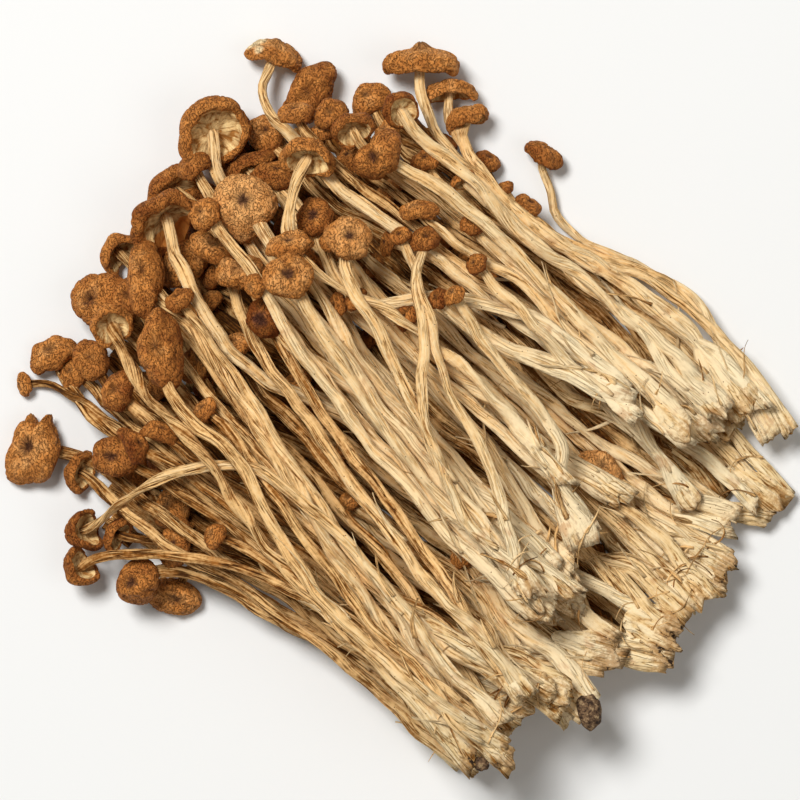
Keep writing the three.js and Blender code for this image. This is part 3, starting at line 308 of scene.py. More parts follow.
      [37, -44]]]]],
]

# The hidden lower mushrooms follow a seeded rule.
FILL_CLUMPS = 9
FILL_SEED = 2150
FILL_SPREAD = 0.3  # how far each cap is from its clump's place on the arc, over the clump's share
FILL_SHORTER = 0.2  # most that a hidden mushroom is shorter than the way between the arcs
FILL_BEND = 5  # most that a hidden stem bows sideways
FILL_ROUTE = [1, 0.88, 0.66, 0.44, 0.26]  # plan points over the way from the root to the cap
FILL_STEM = [4.6, 6.2]
FILL_CAP = [11, 16]
FILL_LEAN = [35, 95]
FILL_FOLD = 0.1
ROOT_ARC = [[112, -14], [103, -32], [92, -54], [78, -72], [60, -86], [44, -96], [24, -106]]
CAP_ARC = [[14, 82], [-14, 72], [-40, 62], [-64, 42], [-82, 12], [-86, -16], [-74, -44]]

# Half a dried cap's section for a radius of 1, from the middle of the gills round the rolled rim to the top.
CAP_SECTION = [
    [0, 0.03], [0.22, 0.0], [0.42, -0.02], [0.58, -0.06], [0.67, -0.16], [0.73, -0.3], [0.83, -0.36],
    [0.94, -0.29], [1.0, -0.13], [0.99, 0.05], [0.9, 0.21], [0.74, 0.34], [0.52, 0.43], [0.3, 0.46],
    [0.12, 0.45], [0, 0.41],
]
GILL_SHARE = 0.31  # share of that section's length that is gills
CAP_TOP = 0.2  # the height in that section over which a cap's top lies
CAP_FIT = 0.95  # a cap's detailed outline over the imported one, before its lobes

STEM_FLESH, CAP_SKIN, GILLS, SOIL = range(4)
# The attributes that the materials read, beside the grain: how deep in a crease, which the materials paint as
# shade and where soil gathers, how light, how much pale flesh, soil or dark middle, and how far from the cut
# end or from the cap's middle.
VALUES = ("crease_shade_and_soil", "tone", "pale", "soil", "centre", "reach")


def linear(hex_colour):
    """A colour written as 0xRRGGBB in sRGB, as the linear numbers that Blender wants."""
    parts = [(hex_colour >> shift & 255) / 255 for shift in (16, 8, 0)]
    return tuple(c / 12.92 if c <= 0.04045 else ((c + 0.055) / 1.055) ** 2.4 for c in parts)


def length_setting(name, description, default_mm):
    """A size that a user would change."""
    return FloatProperty(name=name, description=description, default=default_mm * MM, unit="LENGTH")


def share_setting(name, description, default, most):
    """A share that a user would change, from 0 to the most."""
    return FloatProperty(name=name, description=description, default=default, min=0, max=most,
                         subtype="FACTOR")


def colour_setting(name, description, hex_colour):
    """A colour that a user would change."""
    return FloatVectorProperty(name=name, description=description, default=linear(hex_colour), size=3,
                               subtype="COLOR")


class StemSettings(bpy.types.PropertyGroup):
    """Sizes of the dried stems."""

    groove: share_setting("Fold depth", "Depth of a lengthwise fold over the stem's half width", 0.34, 0.6)
    rib: length_setting("Fibre width", "Distance between the fine valleys along a stem", 1.0)
    wander: length_setting("Wander", "How far a stem strays from a smooth line", 0.45)
    ragged: length_setting("Ragged end", "How uneven a cut end is", 0.4)
    row: length_setting("Row spacing", "Length of a face along a stem", 2.8)
    around: IntProperty(name="Faces around", description="Faces round a visible stem", default=30, min=8)


class CapSettings(bpy.types.PropertyGroup):
    """Sizes of the dried caps."""

    wrinkle: length_setting("Wrinkle depth", "Depth of a wrinkle in the cap's skin", 0.45)
    wrinkle_pitch: length_setting("Wrinkle spacing", "Distance between two wrinkles", 1.5)
    lobes: share_setting("Lobes", "How far a cap's outline is from an oval, over its radius", 0.07, 0.3)
    face: length_setting("Face size", "Length of a face round a cap's rim", 0.54)


class ColourSettings(bpy.types.PropertyGroup):
    """Colours of the dried mushrooms."""

    stem_light: colour_setting("Stem ridges", "Colour of a stem's ridges", 0xF7D8A4)
    stem_middle: colour_setting("Stem", "Colour of most of a stem", 0xF0BF7C)
    stem_dark: colour_setting("Stem grooves", "Colour in a stem's grooves", 0x91591F)
    root: colour_setting("Root flesh", "Colour of the pale flesh near the cut root", 0xF8E3B9)
    cap_light: colour_setting("Cap ridges", "Colour of the cap's ridges", 0xF6B56E)
    cap_middle: colour_setting("Cap skin", "Colour of most of the cap", 0xD0863F)
    cap_dark: colour_setting("Cap creases", "Colour in the cap's creases", 0x5C2200)
    cap_centre: colour_setting("Cap centre", "Colour of the dark spot on a cap's top", 0x54302A)
    gill_light: colour_setting("Gills", "Colour of the gills", 0xF0CF92)
    gill_dark: colour_setting("Between gills", "Colour between the gills", 0xA06A30)
    soil: colour_setting("Soil", "Colour of the soil left on the roots", 0x35261C)
    floor: colour_setting("Floor", "Colour of the studio floor", 0xE8E8E6)


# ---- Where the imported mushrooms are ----


def draws(seed):
    """Repeatable random numbers from 0 to 1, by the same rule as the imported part's."""
    state = seed
    while True:
        state = (state * 1664525 + 1013904223) % 4294967296
        yield state / 4294967296


def smooth_curve(points, at):
    """Places on the centripetal Catmull-Rom curve through the points, for parameters from 0 to 1."""
    points = np.asarray(points, float)
    ends = np.vstack([2 * points[:1] - points[1:2], points, 2 * points[-1:] - points[-2:-1]])
    place = np.asarray(at, float) * (len(points) - 1)
    first = np.clip(np.floor(place).astype(int), 0, len(points) - 2)
    part = (place - first)[:, None]
    p0, p1, p2, p3 = (ends[first + k] for k in range(4))
    d0, d1, d2 = (np.maximum(np.linalg.norm(b - a, axis=1), 1e-8)[:, None] ** 0.5
                  for a, b in ((p0, p1), (p1, p2), (p2, p3)))
    t1 = ((p1 - p0) / d0 - (p2 - p0) / (d0 + d1) + (p2 - p1) / d1) * d1
    t2 = ((p2 - p1) / d1 - (p3 - p1) / (d1 + d2) + (p3 - p2) / d2) * d1
    return p1 + part * t1 + part**2 * (3 * (p2 - p1) - 2 * t1 - t2) + part**3 * (2 * (p1 - p2) + t1 + t2)


def along_curve(points, shares):
    """Places at shares of the length of the smooth curve through the points."""
    steps = np.linspace(0, 1, 201)
    walked = walked_along(smooth_curve(points, steps))
    return smooth_curve(points, np.interp(np.asarray(shares) * walked[-1], walked, steps))


def walked_along(line):
    """Distance walked along a line of points at each of them."""
    return np.concatenate([[0], np.cumsum(np.linalg.norm(np.diff(line, axis=0), axis=1))])


def fill_clumps():
    """The hidden clumps, as rows like those of CLUMPS."""
    random = draws(FILL_SEED)

    def between(limits):
        return limits[0] + (limits[1] - limits[0]) * next(random)

    for k in range(FILL_CLUMPS):
        root = along_curve(ROOT_ARC, [(k + 0.5) / FILL_CLUMPS])[0]
        members = []
        for aside in (-FILL_SPREAD, FILL_SPREAD):
            cap = along_curve(CAP_ARC, [(k + 0.5 + aside) / FILL_CLUMPS])[0]
            cap = cap + (root - cap) * between([0, FILL_SHORTER])
            bend = between([-FILL_BEND, FILL_BEND])
            run = cap - root
            length = np.hypot(*run)
            route = []
            for part in FILL_ROUTE:
                off = bend * math.sin(math.pi * part) / length
                place = root + run * part
                route.append([place[0] - run[1] * off, place[1] + run[0] * off])
            across = between(FILL_CAP)
            width = between(FILL_STEM)
            heading = math.degrees(math.atan2(run[1], run[0]))
            members.append([width, across, across * 0.9, heading, between(FILL_LEAN), FILL_FOLD, route])
        yield [f"hidden_{k + 1:02d}", list(root), members]


CORNER_MATCH = 0.06  # in mm: a packed corner this near to where a cap's ring puts one is taken for it
HEIGHT_MATCH = 0.12  # in mm: corners whose heights for the cap's middle are this near agree
FEWEST_AGREED = 4


class Mushroom:
    """One mushroom's layout in mm, in the plan that CLUMPS uses."""

    def __init__(self, member, root, side, seed):
        self.width, self.across, self.along, self.heading, self.lean, self.fold, route = member
        self.seed = seed
        turn, tip = math.radians(self.heading), math.radians(self.lean)
        self.axis = np.array([math.cos(turn) * math.sin(tip), math.sin(turn) * math.sin(tip), math.cos(tip)])
        self.sideways = np.array([-math.sin(turn), math.cos(turn), 0.0])
        self.onward = np.cross(self.sideways, self.axis)
        self.radius = (self.across + self.along) / 4
        self.middle = np.array([*route[0], 0.0])
        self.tip = self.middle + self.axis * self.radius * TIP_DEPTH
        self.neck = self.tip - self.axis * NECK_LENGTH
        last, root = np.array(route[-1], float), np.array(root, float)
        towards = (root - last) / np.linalg.norm(root - last)
        foot = root + np.array([towards[1], -towards[0]]) * side
        fused = foot - towards * FUSED_LENGTH
        onward = np.linalg.norm(last - fused) > STEM_STEP / 3 and np.linalg.norm(root - last) > FUSED_LENGTH
        between = route[1:] if onward else route[1:-1]
        self.plan = [foot, fused, *[np.array(p, float) for p in between[::-1]], self.neck[:2]]

    def lift(self, corners):
        """Height of the cap's middle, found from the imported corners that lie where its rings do."""
        votes = []
        for k in range(CAP_SIDES):
            turn = math.tau * k / CAP_SIDES
            for r, h in CAP_PROFILE[1:-1]:
                offset = self.cap_offset(r * math.sin(turn), r * math.cos(turn), h)
                near = np.abs(corners[:, :2] - (self.middle + offset)[:2]).max(axis=1) < CORNER_MATCH
                votes += list(corners[near, 2] - offset[2])
        votes = np.sort(votes)
        agreed = [np.sum(np.abs(votes - v) < HEIGHT_MATCH) for v in votes]
        if not agreed or max(agreed) < FEWEST_AGREED:
            raise RuntimeError("a packed cap is not where its layout says")
        best = votes[int(np.argmax(agreed))]
        return float(np.mean(votes[np.abs(votes - best) < HEIGHT_MATCH]))

    def cap_offset(self, x, y, h):
        """Offset in mm from the cap's middle of a point at x across and y along for a radius of 1, h high."""
        rise = (h - self.fold * (np.square(x) - 0.1)) * self.radius
        return (np.multiply.outer(x * self.across / 2, self.sideways)
                + np.multiply.outer(y * self.along / 2, self.onward) + np.multiply.outer(rise, self.axis))


def surface_under(tree, x, y, start=ABOVE):
    """The first place on a tree's surfaces straight under (x, y, start), or None, and its normal."""
    return tree.ray_cast(Vector((x, y, start)), Vector((0, 0, -1)))[:2]


CAST_GAP = 0.01  # in mm: how far under a surface the next ray starts


def spans_at(tree, x, y):
    """Solid stretches of a packed clump on the upright line at (x, y), highest first, as (top, bottom)."""
    spans, top, start = [], None, ABOVE
    while True:
        hit, normal = surface_under(tree, x, y, start)
        if hit is None:
            return spans
        if normal.z > 0 and top is None:
            top = hit.z
        elif normal.z < 0 and top is not None:
            spans.append((top, hit.z))
            top = None
        start = hit.z - CAST_GAP


STEM_PLACES, FUSED_PLACES = 41, 7  # along a stem, and along its stretch next to the cut end
CAP_CLEARANCE = 1.5  # in mm: this near to a cap's outline, the cap is in the way of its own stem
STEEPEST_STEM = 0.65  # how much a stem may climb over its length
STEM_JUMP = 2  # in mm: how far off a stem's height may be besides


def stem_line(mushroom, tree, lift):
    """The middle line of a packed stem in 3-D, from its cut root to its tip inside the cap, in mm."""
    tip = mushroom.tip + [0, 0, lift]
    neck = mushroom.neck + [0, 0, lift]
    foot, run = mushroom.plan[0], along_curve(mushroom.plan[1:], np.linspace(0, 1, STEM_PLACES))
    line = np.vstack([np.linspace(foot, run[0], FUSED_PLACES)[:-1], run])
    half = mushroom.width / 2 * STEM_FLATNESS
    keep, height = [], neck[2]
    walked = walked_along(line)
    clear = max(mushroom.across, mushroom.along) / 2 + CAP_CLEARANCE
    last = walked[-1]
    for k in range(len(line) - 1, -1, -1):
        x, y = line[k]
        if np.hypot(x - mushroom.middle[0], y - mushroom.middle[1]) < clear and k >= FUSED_PLACES:
            continue
        choices = []
        for top, bottom in spans_at(tree, x, y):
            # Where a stretch is as thick as two stems, this may be the highest or the lowest one in it.
            alone = top - bottom < 4 * half
            choices += [(top + bottom) / 2] if alone else [top - half, bottom + half]
        if not choices:
            continue
        best = min(choices, key=lambda z: abs(z - height))
        if abs(best - height) < STEEPEST_STEM * (last - walked[k]) + STEM_JUMP:
            keep.append((walked[k], best))
            height, last = best, walked[k]
    keep = keep[::-1] or [(0, neck[2])]
    z = np.interp(walked, [s for s, _ in keep] + [walked[-1]], [h for _, h in keep] + [neck[2]])
    return np.vstack([np.column_stack([line, z]), tip])


FEWEST_PLACES = 8  # of an evened line


def evened(line, spacing, blur, longer=0.0):
    """The line smoothed over `blur` mm with its ends kept, with points `spacing` mm apart or a little less.
    Its start is moved back by `longer` mm, or onward where that is negative."""
    walked = walked_along(line)
    fine = np.linspace(0, walked[-1], max(FEWEST_PLACES, int(walked[-1]) + 1))
    even = np.column_stack([np.interp(fine, walked, line[:, k]) for k in range(3)])
    reach = min(len(even) - 1, int(3 * blur))
    padded = np.vstack([2 * even[0] - even[reach:0:-1], even, 2 * even[-1] - even[-2:-reach - 2:-1]])
    bell = np.exp(-0.5 * (np.arange(-reach, reach + 1) / blur) ** 2)
    bell /= bell.sum()
    smooth = np.column_stack([np.convolve(padded[:, k], bell, "valid") for k in range(3)])
    walked = walked_along(smooth)
    count = max(FEWEST_PLACES, math.ceil((walked[-1] + longer) / spacing) + 1)
    places = np.linspace(-longer, walked[-1], count)
    made = np.column_stack([np.interp(places, walked, smooth[:, k]) for k in range(3)])
    return made + np.outer(np.minimum(places, 0), (smooth[1] - smooth[0]) / walked[1])


def carried_frames(line):
    """Two directions across the line at each point and the one along it. They are carried along the line
    without twist, and the first starts level."""
    ahead = np.gradient(line, axis=0)
    ahead /= np.linalg.norm(ahead, axis=1)[:, None]
    side = np.cross(ahead[0], [0, 0, 1.0])
    sides = []
    for t in ahead:
        side = side - t * np.dot(side, t)
        side /= np.linalg.norm(side)
        sides.append(side)
    sides = np.array(sides)
    return sides, np.cross(sides, ahead), ahead


def ripples(places, size, seed, waves=9):
    """Smooth noise from about -1 to 1 at the places, with bumps about `size` apart, made of crossed waves."""
    draw = np.random.default_rng(seed)
    places = np.asarray(places, float)
    turns = draw.normal(size=(waves, places.shape[-1]))
    paces = draw.uniform(0.75, 1.35, waves) * math.tau / (2 * size)
    turns *= (paces / np.linalg.norm(turns, axis=1))[:, None]
    return np.sin(places @ turns.T + draw.uniform(0, math.tau, waves)).sum(axis=-1) / math.sqrt(waves * 1.1)


def lines(noise, width):
    """1 on the lines where the noise is 0, falling to 0 beside them."""
    return np.exp(-(noise / width) ** 2)


def step(low, high, x):
    """0 below low, 1 above high and a smooth step between."""
    t = np.clip((x - low) / (high - low), 0, 1)
    return t * t * (3 - 2 * t)


# ---- Shapes ----

# Stems: lengths in mm, the rest shares of a stem's own size. A ripple's bumps are a pitch apart.
STEM_BLUR = 2.6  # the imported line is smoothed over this
COARSE_ROWS = 2.2  # a hidden stem's row spacing over a visible one's
COARSE_AROUND = 12  # faces round a hidden stem
STEM_FIT = 1.03  # a detailed stem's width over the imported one's
END_MOVED = (-6, 2.5)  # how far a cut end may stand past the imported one; below 0 it is short of it
END_FADE = 6  # over which the cut end's own width and thickness fade out
CALM_END = 14  # from either end, over which a stem's wandering grows to its full size
BENDS = ((21, 1.0), (8, 0.3))  # the pitch and strength of each way in which it wanders
KINK_PITCH, TWIST_PITCH, WIDTH_PITCH, THICKNESS_PITCH = 17, 30, 12, 9
FOLDS = 5  # deeper folds round a stem
FOLD_PITCH, FOLD_SHIFT_PITCH = 22, 30  # along it, of how deep a fold is and of where round the stem it runs
STRETCH = 0.05  # the pitch round a stem over the pitch along it, for its fibres
GRAIN_STRETCH = 0.06  # the same for the finer fibres that its material draws
PALE_LENGTH = (64, 6)  # from the cut end: where the pale flesh starts and where it is fullest
SOILED_LENGTH = 10  # from the cut end
GRAIN_SHIFT = 40  # a piece's grain starts anywhere within this, so that no two are alike

# The blade in which a clump's stems are grown together, in mm.
ROOT_LENGTH = (12, 24)
ROOT_HALF_THICKNESS = 2.5
ROOT_MARGIN = 2.4  # beside the outermost stems' middles
ROOT_ROWS = 28

SIDE_MARGIN, BAND_MARGIN = 0.004, 0.02  # round each sheet on the piece's map
WELD = 1e-7  # in metres: corners this near are one


class Builder:
    """Gathers one piece's mesh: closed sheets made of bmesh grids, with the attributes its materials read.
    Each sheet has its own band of the piece's map."""

    def __init__(self, bands):
        self.bm = bmesh.new()
        self.map = self.bm.loops.layers.uv.new("OFBake")
        self.grain = self.bm.verts.layers.float_vector.new("grain")
        self.values = {n: self.bm.verts.layers.float.new(n) for n in VALUES}
        self.bands = iter(bands)

    def wrap(self, places, grain, material, values):
        """Closes a grid round the places, an array of rows by columns by 3 in mm whose first and last rows
        are points and whose first and last columns meet. material holds one index for each row of faces."""
        low, high = next(self.bands)
        rows, columns = places.shape[0] - 1, places.shape[1] - 1
        made = bmesh.ops.create_grid(self.bm, x_segments=columns, y_segments=rows, size=1)["verts"]
        flat = (places - CENTRE).reshape(-1, 3) * MM
        flat[:, 2] = np.maximum(flat[:, 2], FLOOR_GAP)
        grain = grain.reshape(-1, 3)
        values = {n: np.broadcast_to(v, places.shape[:2]).ravel() for n, v in values.items()}
        spots = {}
        for v in made:
            i, j = round((v.co.x + 1) / 2 * columns), round((v.co.y + 1) / 2 * rows)
            spots[v] = (i / columns, j / rows)
            k = j * (columns + 1) + i
            v.co = flat[k]
            v[self.grain] = grain[k]
            for name, layer in self.values.items():
                v[layer] = values[name][k]
        faces = {f for v in made for f in v.link_faces}
        for face in faces:
            j = min(spots[loop.vert][1] for loop in face.loops)
            face.material_index = material[round(j * rows)]
            face.smooth = True
            for loop in face.loops:
                u, t = spots[loop.vert]
                up = low + (high - low) * (BAND_MARGIN + (1 - 2 * BAND_MARGIN) * t)
                loop[self.map].uv = (SIDE_MARGIN + (1 - 2 * SIDE_MARGIN) * u, up)
        bmesh.ops.remove_doubles(self.bm, verts=made, dist=WELD)

    def finish(self, name):
        """The piece, with its faces pointing outwards."""
        bmesh.ops.recalc_face_normals(self.bm, faces=self.bm.faces)
        mesh = bpy.data.meshes.new(name)
        self.bm.to_mesh(mesh)
        self.bm.free()
        piece = bpy.data.objects.new(name, mesh)
        bpy.context.scene.collection.objects.link(piece)
        return piece


def full_turn(count):
    """The angles of a grid's columns all the way round, of which the last is the first again."""
    turn = np.linspace(0, math.tau, count + 1)
    turn[-1] = 0.0
    return turn


def on_skin(round_mm, along):
    """Places on the skin of a straightened stem: a round_mm for each column and an along for each row."""
    shape = (len(along), len(round_mm))
    return np.concatenate([np.broadcast_to(round_mm, (*shape, 2)),
                           np.broadcast_to(along.reshape(-1, 1, 1), (*shape, 1))], axis=-1)


def swept(line, sides, ups, roll, a, b):
    """Places a aside and b up from a line's points, in cross-sections turned by the roll."""
    cos, sin = np.cos(roll), np.sin(roll)
    places = line[:, None] + sides[:, None] * (a * cos - b * sin)[..., None]
    return places + ups[:, None] * (a * sin + b * cos)[..., None]


def stem_sizes(mushroom, walked):
    """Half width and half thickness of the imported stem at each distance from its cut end."""
    flare = np.maximum(0, 1 - walked / FLARE_LENGTH) ** 2
    half = mushroom.width / 2 * (1 - 0.15 * step(walked[-1] - 12, walked[-1] - 4, walked))
    return half * (1 + (ROOT_FLARE - 1) * flare), half * STEM_FLATNESS * (1 + (ROOT_SWELL - 1) * flare)


def add_stem(builder, mushroom, line, settings, coarse, soil, tone):
    """A flattened, ribbed stem with a blunt cut end, closed at its tip, as light as its tone. Returns its
    line and its frames."""
    draw = np.random.default_rng(mushroom.seed)
    longer, slant = (0, 0) if coarse else (draw.uniform(*END_MOVED), draw.uniform(-1.0, 1.0))
    thinner, narrower = draw.uniform(0.5, 1), draw.uniform(0.7, 1.1)
    line = evened(line, settings.row / MM * (COARSE_ROWS if coarse else 1), STEM_BLUR, longer)
    walked = walked_along(line)
    length = walked[-1]
    sides, ups, ahead = carried_frames(line)
    beat = walked[:, None]

    def rippled(pitch, number):
        return ripples(beat, pitch, mushroom.seed + number)

    # It wanders, kinks and twists away from its smooth line, more aside than up.
    calm = step(0, CALM_END, walked) * step(0, CALM_END, length - walked)
    wander = settings.wander / MM
    for k, (pitch, share) in enumerate(BENDS):
        line = line + sides * (calm * wander * share * rippled(pitch, 1 + k))[:, None]
        line = line + ups * (calm * 0.5 * wander * share * rippled(pitch, 3 + k))[:, None]
    kinks = np.abs(rippled(KINK_PITCH, 5)) - 0.7
    line = line + sides * (calm * wander * 0.8 * kinks)[:, None]
    roll = 0.65 * rippled(TWIST_PITCH, 6) * calm + draw.normal() * 0.12
    wide, thick = stem_sizes(mushroom, walked)
    wide = wide * (STEM_FIT + 0.07 * rippled(WIDTH_PITCH, 7))
    thick = thick * (STEM_FIT + 0.1 * rippled(THICKNESS_PITCH, 8))
    near_end = np.exp(-((walked / END_FADE) ** 2))
    wide = wide * (1 - (1 - narrower) * near_end)
    thick = thick * (1 - (1 - thinner) * near_end)
    around = COARSE_AROUND if coarse else settings.around
    turn = full_turn(around) - math.pi / 2

    # Fibres run along the stem with narrow valleys between, and a few deeper folds come and go round it.
    round_mm = np.stack([np.cos(turn), np.sin(turn)], axis=-1) * max(mushroom.width * 0.5, 1.7)
    fibres = ripples(on_skin(round_mm, walked * STRETCH), settings.rib / MM, mushroom.seed + 10, waves=16)
    valleys = lines(fibres, 0.3)
    folds = np.zeros_like(valleys)
    for k in range(FOLDS):
        middle = math.tau * (k + draw.uniform(-0.4, 0.4)) / FOLDS + 0.35 * rippled(FOLD_SHIFT_PITCH, 20 + k)
        depth = step(-0.6, 0.9, rippled(FOLD_PITCH, 40 + k) + draw.uniform(-0.7, 0.4))
        apart = np.angle(np.exp(1j * (turn[None, :] - middle[:, None])))
        side = np.maximum(0, 1 - np.abs(apart) / draw.uniform(0.26, 0.42))
        folds = np.maximum(folds, depth.reshape(-1, 1) * side**1.3)
    lumps = ripples(on_skin(round_mm, walked), 1.5, mushroom.seed + 60, waves=14)
    knotty = np.exp(-((walked / 7) ** 2))[:, None]
    spread = 1.04 - settings.groove * folds - 0.05 * valleys + 0.08 * knotty * lumps
    # The depth of the folds and valleys is painted as shade by the stem's material, which also gathers soil
    # there.
    crease_shade_and_soil = np.clip(folds + 0.2 * valleys, 0, 1)

    # Rows of the grid: the hollow middle of the cut end, its rim, the stem, and the tip.
    rows = np.concatenate([[0, 0, 0], np.arange(len(line)), [len(line) - 1]])
    size = np.concatenate([[0, 0.5, 0.86], np.ones(len(line)), [0]])
    size[3] = 0.97
    size[-2] = 0.7
    sunk = np.concatenate([[0.9, 0.8, 0.1], np.zeros(len(line) + 1)])
    fray = settings.ragged / MM * ripples(round_mm, 0.8, mushroom.seed + 70)[None, :] * np.exp(-beat / 3)
    slope = slant * (wide[:, None] * np.cos(turn)) * np.exp(-beat / 7)
    back = (fray + slope)[rows] * np.minimum(size, 1)[:, None] ** 2 + sunk[:, None]
    lens = np.sin(turn) * (1 - 0.22 * np.cos(turn) ** 2)
    a = (wide[:, None] * spread * np.cos(turn))[rows] * size[:, None]
    b = (thick[:, None] * spread * lens)[rows] * size[:, None]
    places = swept(line[rows], sides[rows], ups[rows], roll[rows, None], a, b)
    places = places + ahead[rows][:, None] * back[..., None]

    tone = draw.uniform(0, 1) if tone is None else tone + draw.uniform(-0.15, 0.15)
    fresh = step(*PALE_LENGTH, walked) * draw.uniform(0.45, 1.0) + draw.uniform(0, 0.15)
    end = np.full((3, around + 1), 0.5)
    values = {
        "crease_shade_and_soil": np.vstack([end, crease_shade_and_soil, crease_shade_and_soil[-1:]]),
        "tone": tone,
        "pale": fresh[rows, None],
        "soil": soil * step(SOILED_LENGTH, 0, walked)[rows, None],
        "centre": 0.0,
        "reach": (walked / length)[rows, None],
    }
    grain = on_skin(round_mm, walked[rows] * GRAIN_STRETCH) + draw.uniform(-GRAIN_SHIFT, GRAIN_SHIFT, 3)
    builder.wrap(places, grain, [STEM_FLESH] * len(rows), values)
    return line, sides, ups, ahead


def add_root(builder, stems, spacing, soil, seed):
    """The broad blade in which the stems of a clump are grown together at the cut end, creased lengthwise."""
    draw = np.random.default_rng(seed + 800)
    middle = np.mean([line[0] for line, _, _, _ in stems], axis=0)
    ahead = np.mean([s[3][0] for s in stems], axis=0)
    ahead /= np.linalg.norm(ahead)
    side = np.cross(ahead, [0, 0, 1.0])
    side /= np.linalg.norm(side)
    up = np.cross(side, ahead)
    length = draw.uniform(*ROOT_LENGTH)
    knobs = 0.7 * draw.uniform(0, 1) ** 2
    part = np.linspace(0, 1, ROOT_ROWS + 1)
    turn = full_turn(20 + 8 * len(stems))
    half = (len(stems) - 1) / 2 * spacing + ROOT_MARGIN
    bulge = np.minimum(np.sin(np.pi * part**0.5) ** 0.45, 1)
    a = (half * bulge * (1 - 0.25 * part))[:, None] * np.cos(turn)
    b = (ROOT_HALF_THICKNESS * bulge * (1 - 0.45 * part))[:, None] * np.sin(turn)
    # The cut end isn't square: each part of it reaches its own length, and it slants as a whole.
    reach = 2.2 * ripples(a[:, :, None], 3.5, seed + 803) + draw.uniform(-0.5, 0.5) * a
    onward = (part * length - 0.6)[:, None] + reach * (1 - part)[:, None] ** 2
    places = middle + side * a[..., None] + up * b[..., None] + ahead * onward[..., None]

    # Creases and knobs push it in and out.
    creased = np.stack([a, b, onward * 0.07], axis=-1)
    lumpy = np.stack([a, b, onward * 0.5], axis=-1)
    creases = lines(ripples(creased, 2.0, seed + 801, waves=16), 0.28)
    gnarled = knobs * np.exp(-part / 0.3)[:, None]
    lumps = 0.45 * ripples(lumpy, 1.5, seed + 805, waves=14) + 0.2 * ripples(places, 0.9, seed + 802)
    push = 0.2 - 0.6 * creases + 0.25 * ripples(places, 5.0, seed + 804) + gnarled * lumps
    outward = side * a[..., None] / half**2 + up * b[..., None] / ROOT_HALF_THICKNESS**2
    outward = outward - ahead * (0.4 * (1 - part) ** 3)[:, None, None]
    outward /= np.maximum(np.linalg.norm(outward, axis=2, keepdims=True), 1e-6)
    places = places + outward * push[..., None]
    places[:, -1] = places[:, 0]
    for row in (0, -1):
        places[row] = places[row].mean(axis=0)
    # The depth of its creases and of the dents between its knobs is painted as shade by the material.
    values = {
        "crease_shade_and_soil": np.clip(0.8 * creases + gnarled * (0.3 - push), 0, 1),
        "tone": draw.uniform(0, 0.8),
        "pale": draw.uniform(0.4, 0.9),
        "soil": np.clip(soil * step(0.7, 0.05, part)[:, None] + 0.15 * knobs, 0, 1.4),
        "centre": 0.0,
        "reach": 0.0,
    }
    grain = np.stack([a * 0.8, b * 0.8, onward * GRAIN_STRETCH], axis=-1)
    grain = grain + draw.uniform(-GRAIN_SHIFT, GRAIN_SHIFT, 3)
    builder.wrap(places, grain, [STEM_FLESH] * len(part), values)


def add_knob(builder, middle, size, seed):
    """A rounded knob of dried soil about the middle, with half sizes in x, y and z, in mm."""
    columns, rows = 40, 22
    turn, rise = np.meshgrid(np.linspace(0, math.tau, columns + 1),
                             np.linspace(-math.pi / 2, math.pi / 2, rows + 1))
    way = np.stack([np.cos(rise) * np.cos(turn), np.cos(rise) * np.sin(turn), np.sin(rise)], axis=-1)
    lumps = 1 + 0.14 * ripples(way, 0.9, seed + 1) + 0.05 * ripples(way, 0.3, seed + 2, waves=14)
    places = middle + way * size * lumps[..., None]
    places[:, -1] = places[:, 0]
    for row in (0, -1):
        places[row] = places[row].mean(axis=0)
    values = {name: 0.0 for name in VALUES}
    builder.wrap(places, places, [SOIL] * (rows + 1), values)


# Caps: lengths in mm, the rest shares of a cap's radius. A ripple's bumps are a pitch apart.
CAP_COLUMNS = (40, 130)  # fewest and most faces round a visible cap
COARSE_COLUMNS, FEWEST_ROWS = 24, 16
LOBES, WAVES = (2, 3, 5, 7), (2, 3, 4, 6)  # how many times each goes in and out, or up and down, round a rim
BEND_PITCH, SWELL_PITCH, BUCKLE_PITCH, CRUMPLE_PITCH, TEAR_PITCH = 3.1, 4.2, 2.8, 2.6, 2.5
USUAL_RADIUS = 8  # a smaller cap's wrinkles are shallower


def cap_outline(mushroom, offsets, turn):
    """How far the outline through the plan offsets from the cap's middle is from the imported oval, over its
    radius. The cap's own axes turn the offsets into radiuses."""
    offset = np.array(offsets, float)
    level = mushroom.onward[:2]
    across = offset @ mushroom.sideways[:2] / (mushroom.across / 2)
    along = offset @ level / np.dot(level, level) / (mushroom.along / 2)
    radius = np.interp(turn, np.arctan2(across, along) % math.tau, np.hypot(across, along), period=math.tau)
    return radius / CAP_FIT - 1


def outward_normals(places):
    """The outward direction at each place of a closed grid."""
    down = np.gradient(places, axis=0)
    ring = places[:, :-1]
    across = np.roll(ring, -1, axis=1) - np.roll(ring, 1, axis=1)
    across = np.concatenate([across, across[:, :1]], axis=1)
    normal = np.cross(across, down)
    normal /= np.maximum(np.linalg.norm(normal, axis=2, keepdims=True), 1e-9)
    belt = (len(places) - 1) // 2
    out = np.sign((normal[belt] * (places[belt] - places[belt].mean(axis=0))).sum())
    return normal * (out or 1)


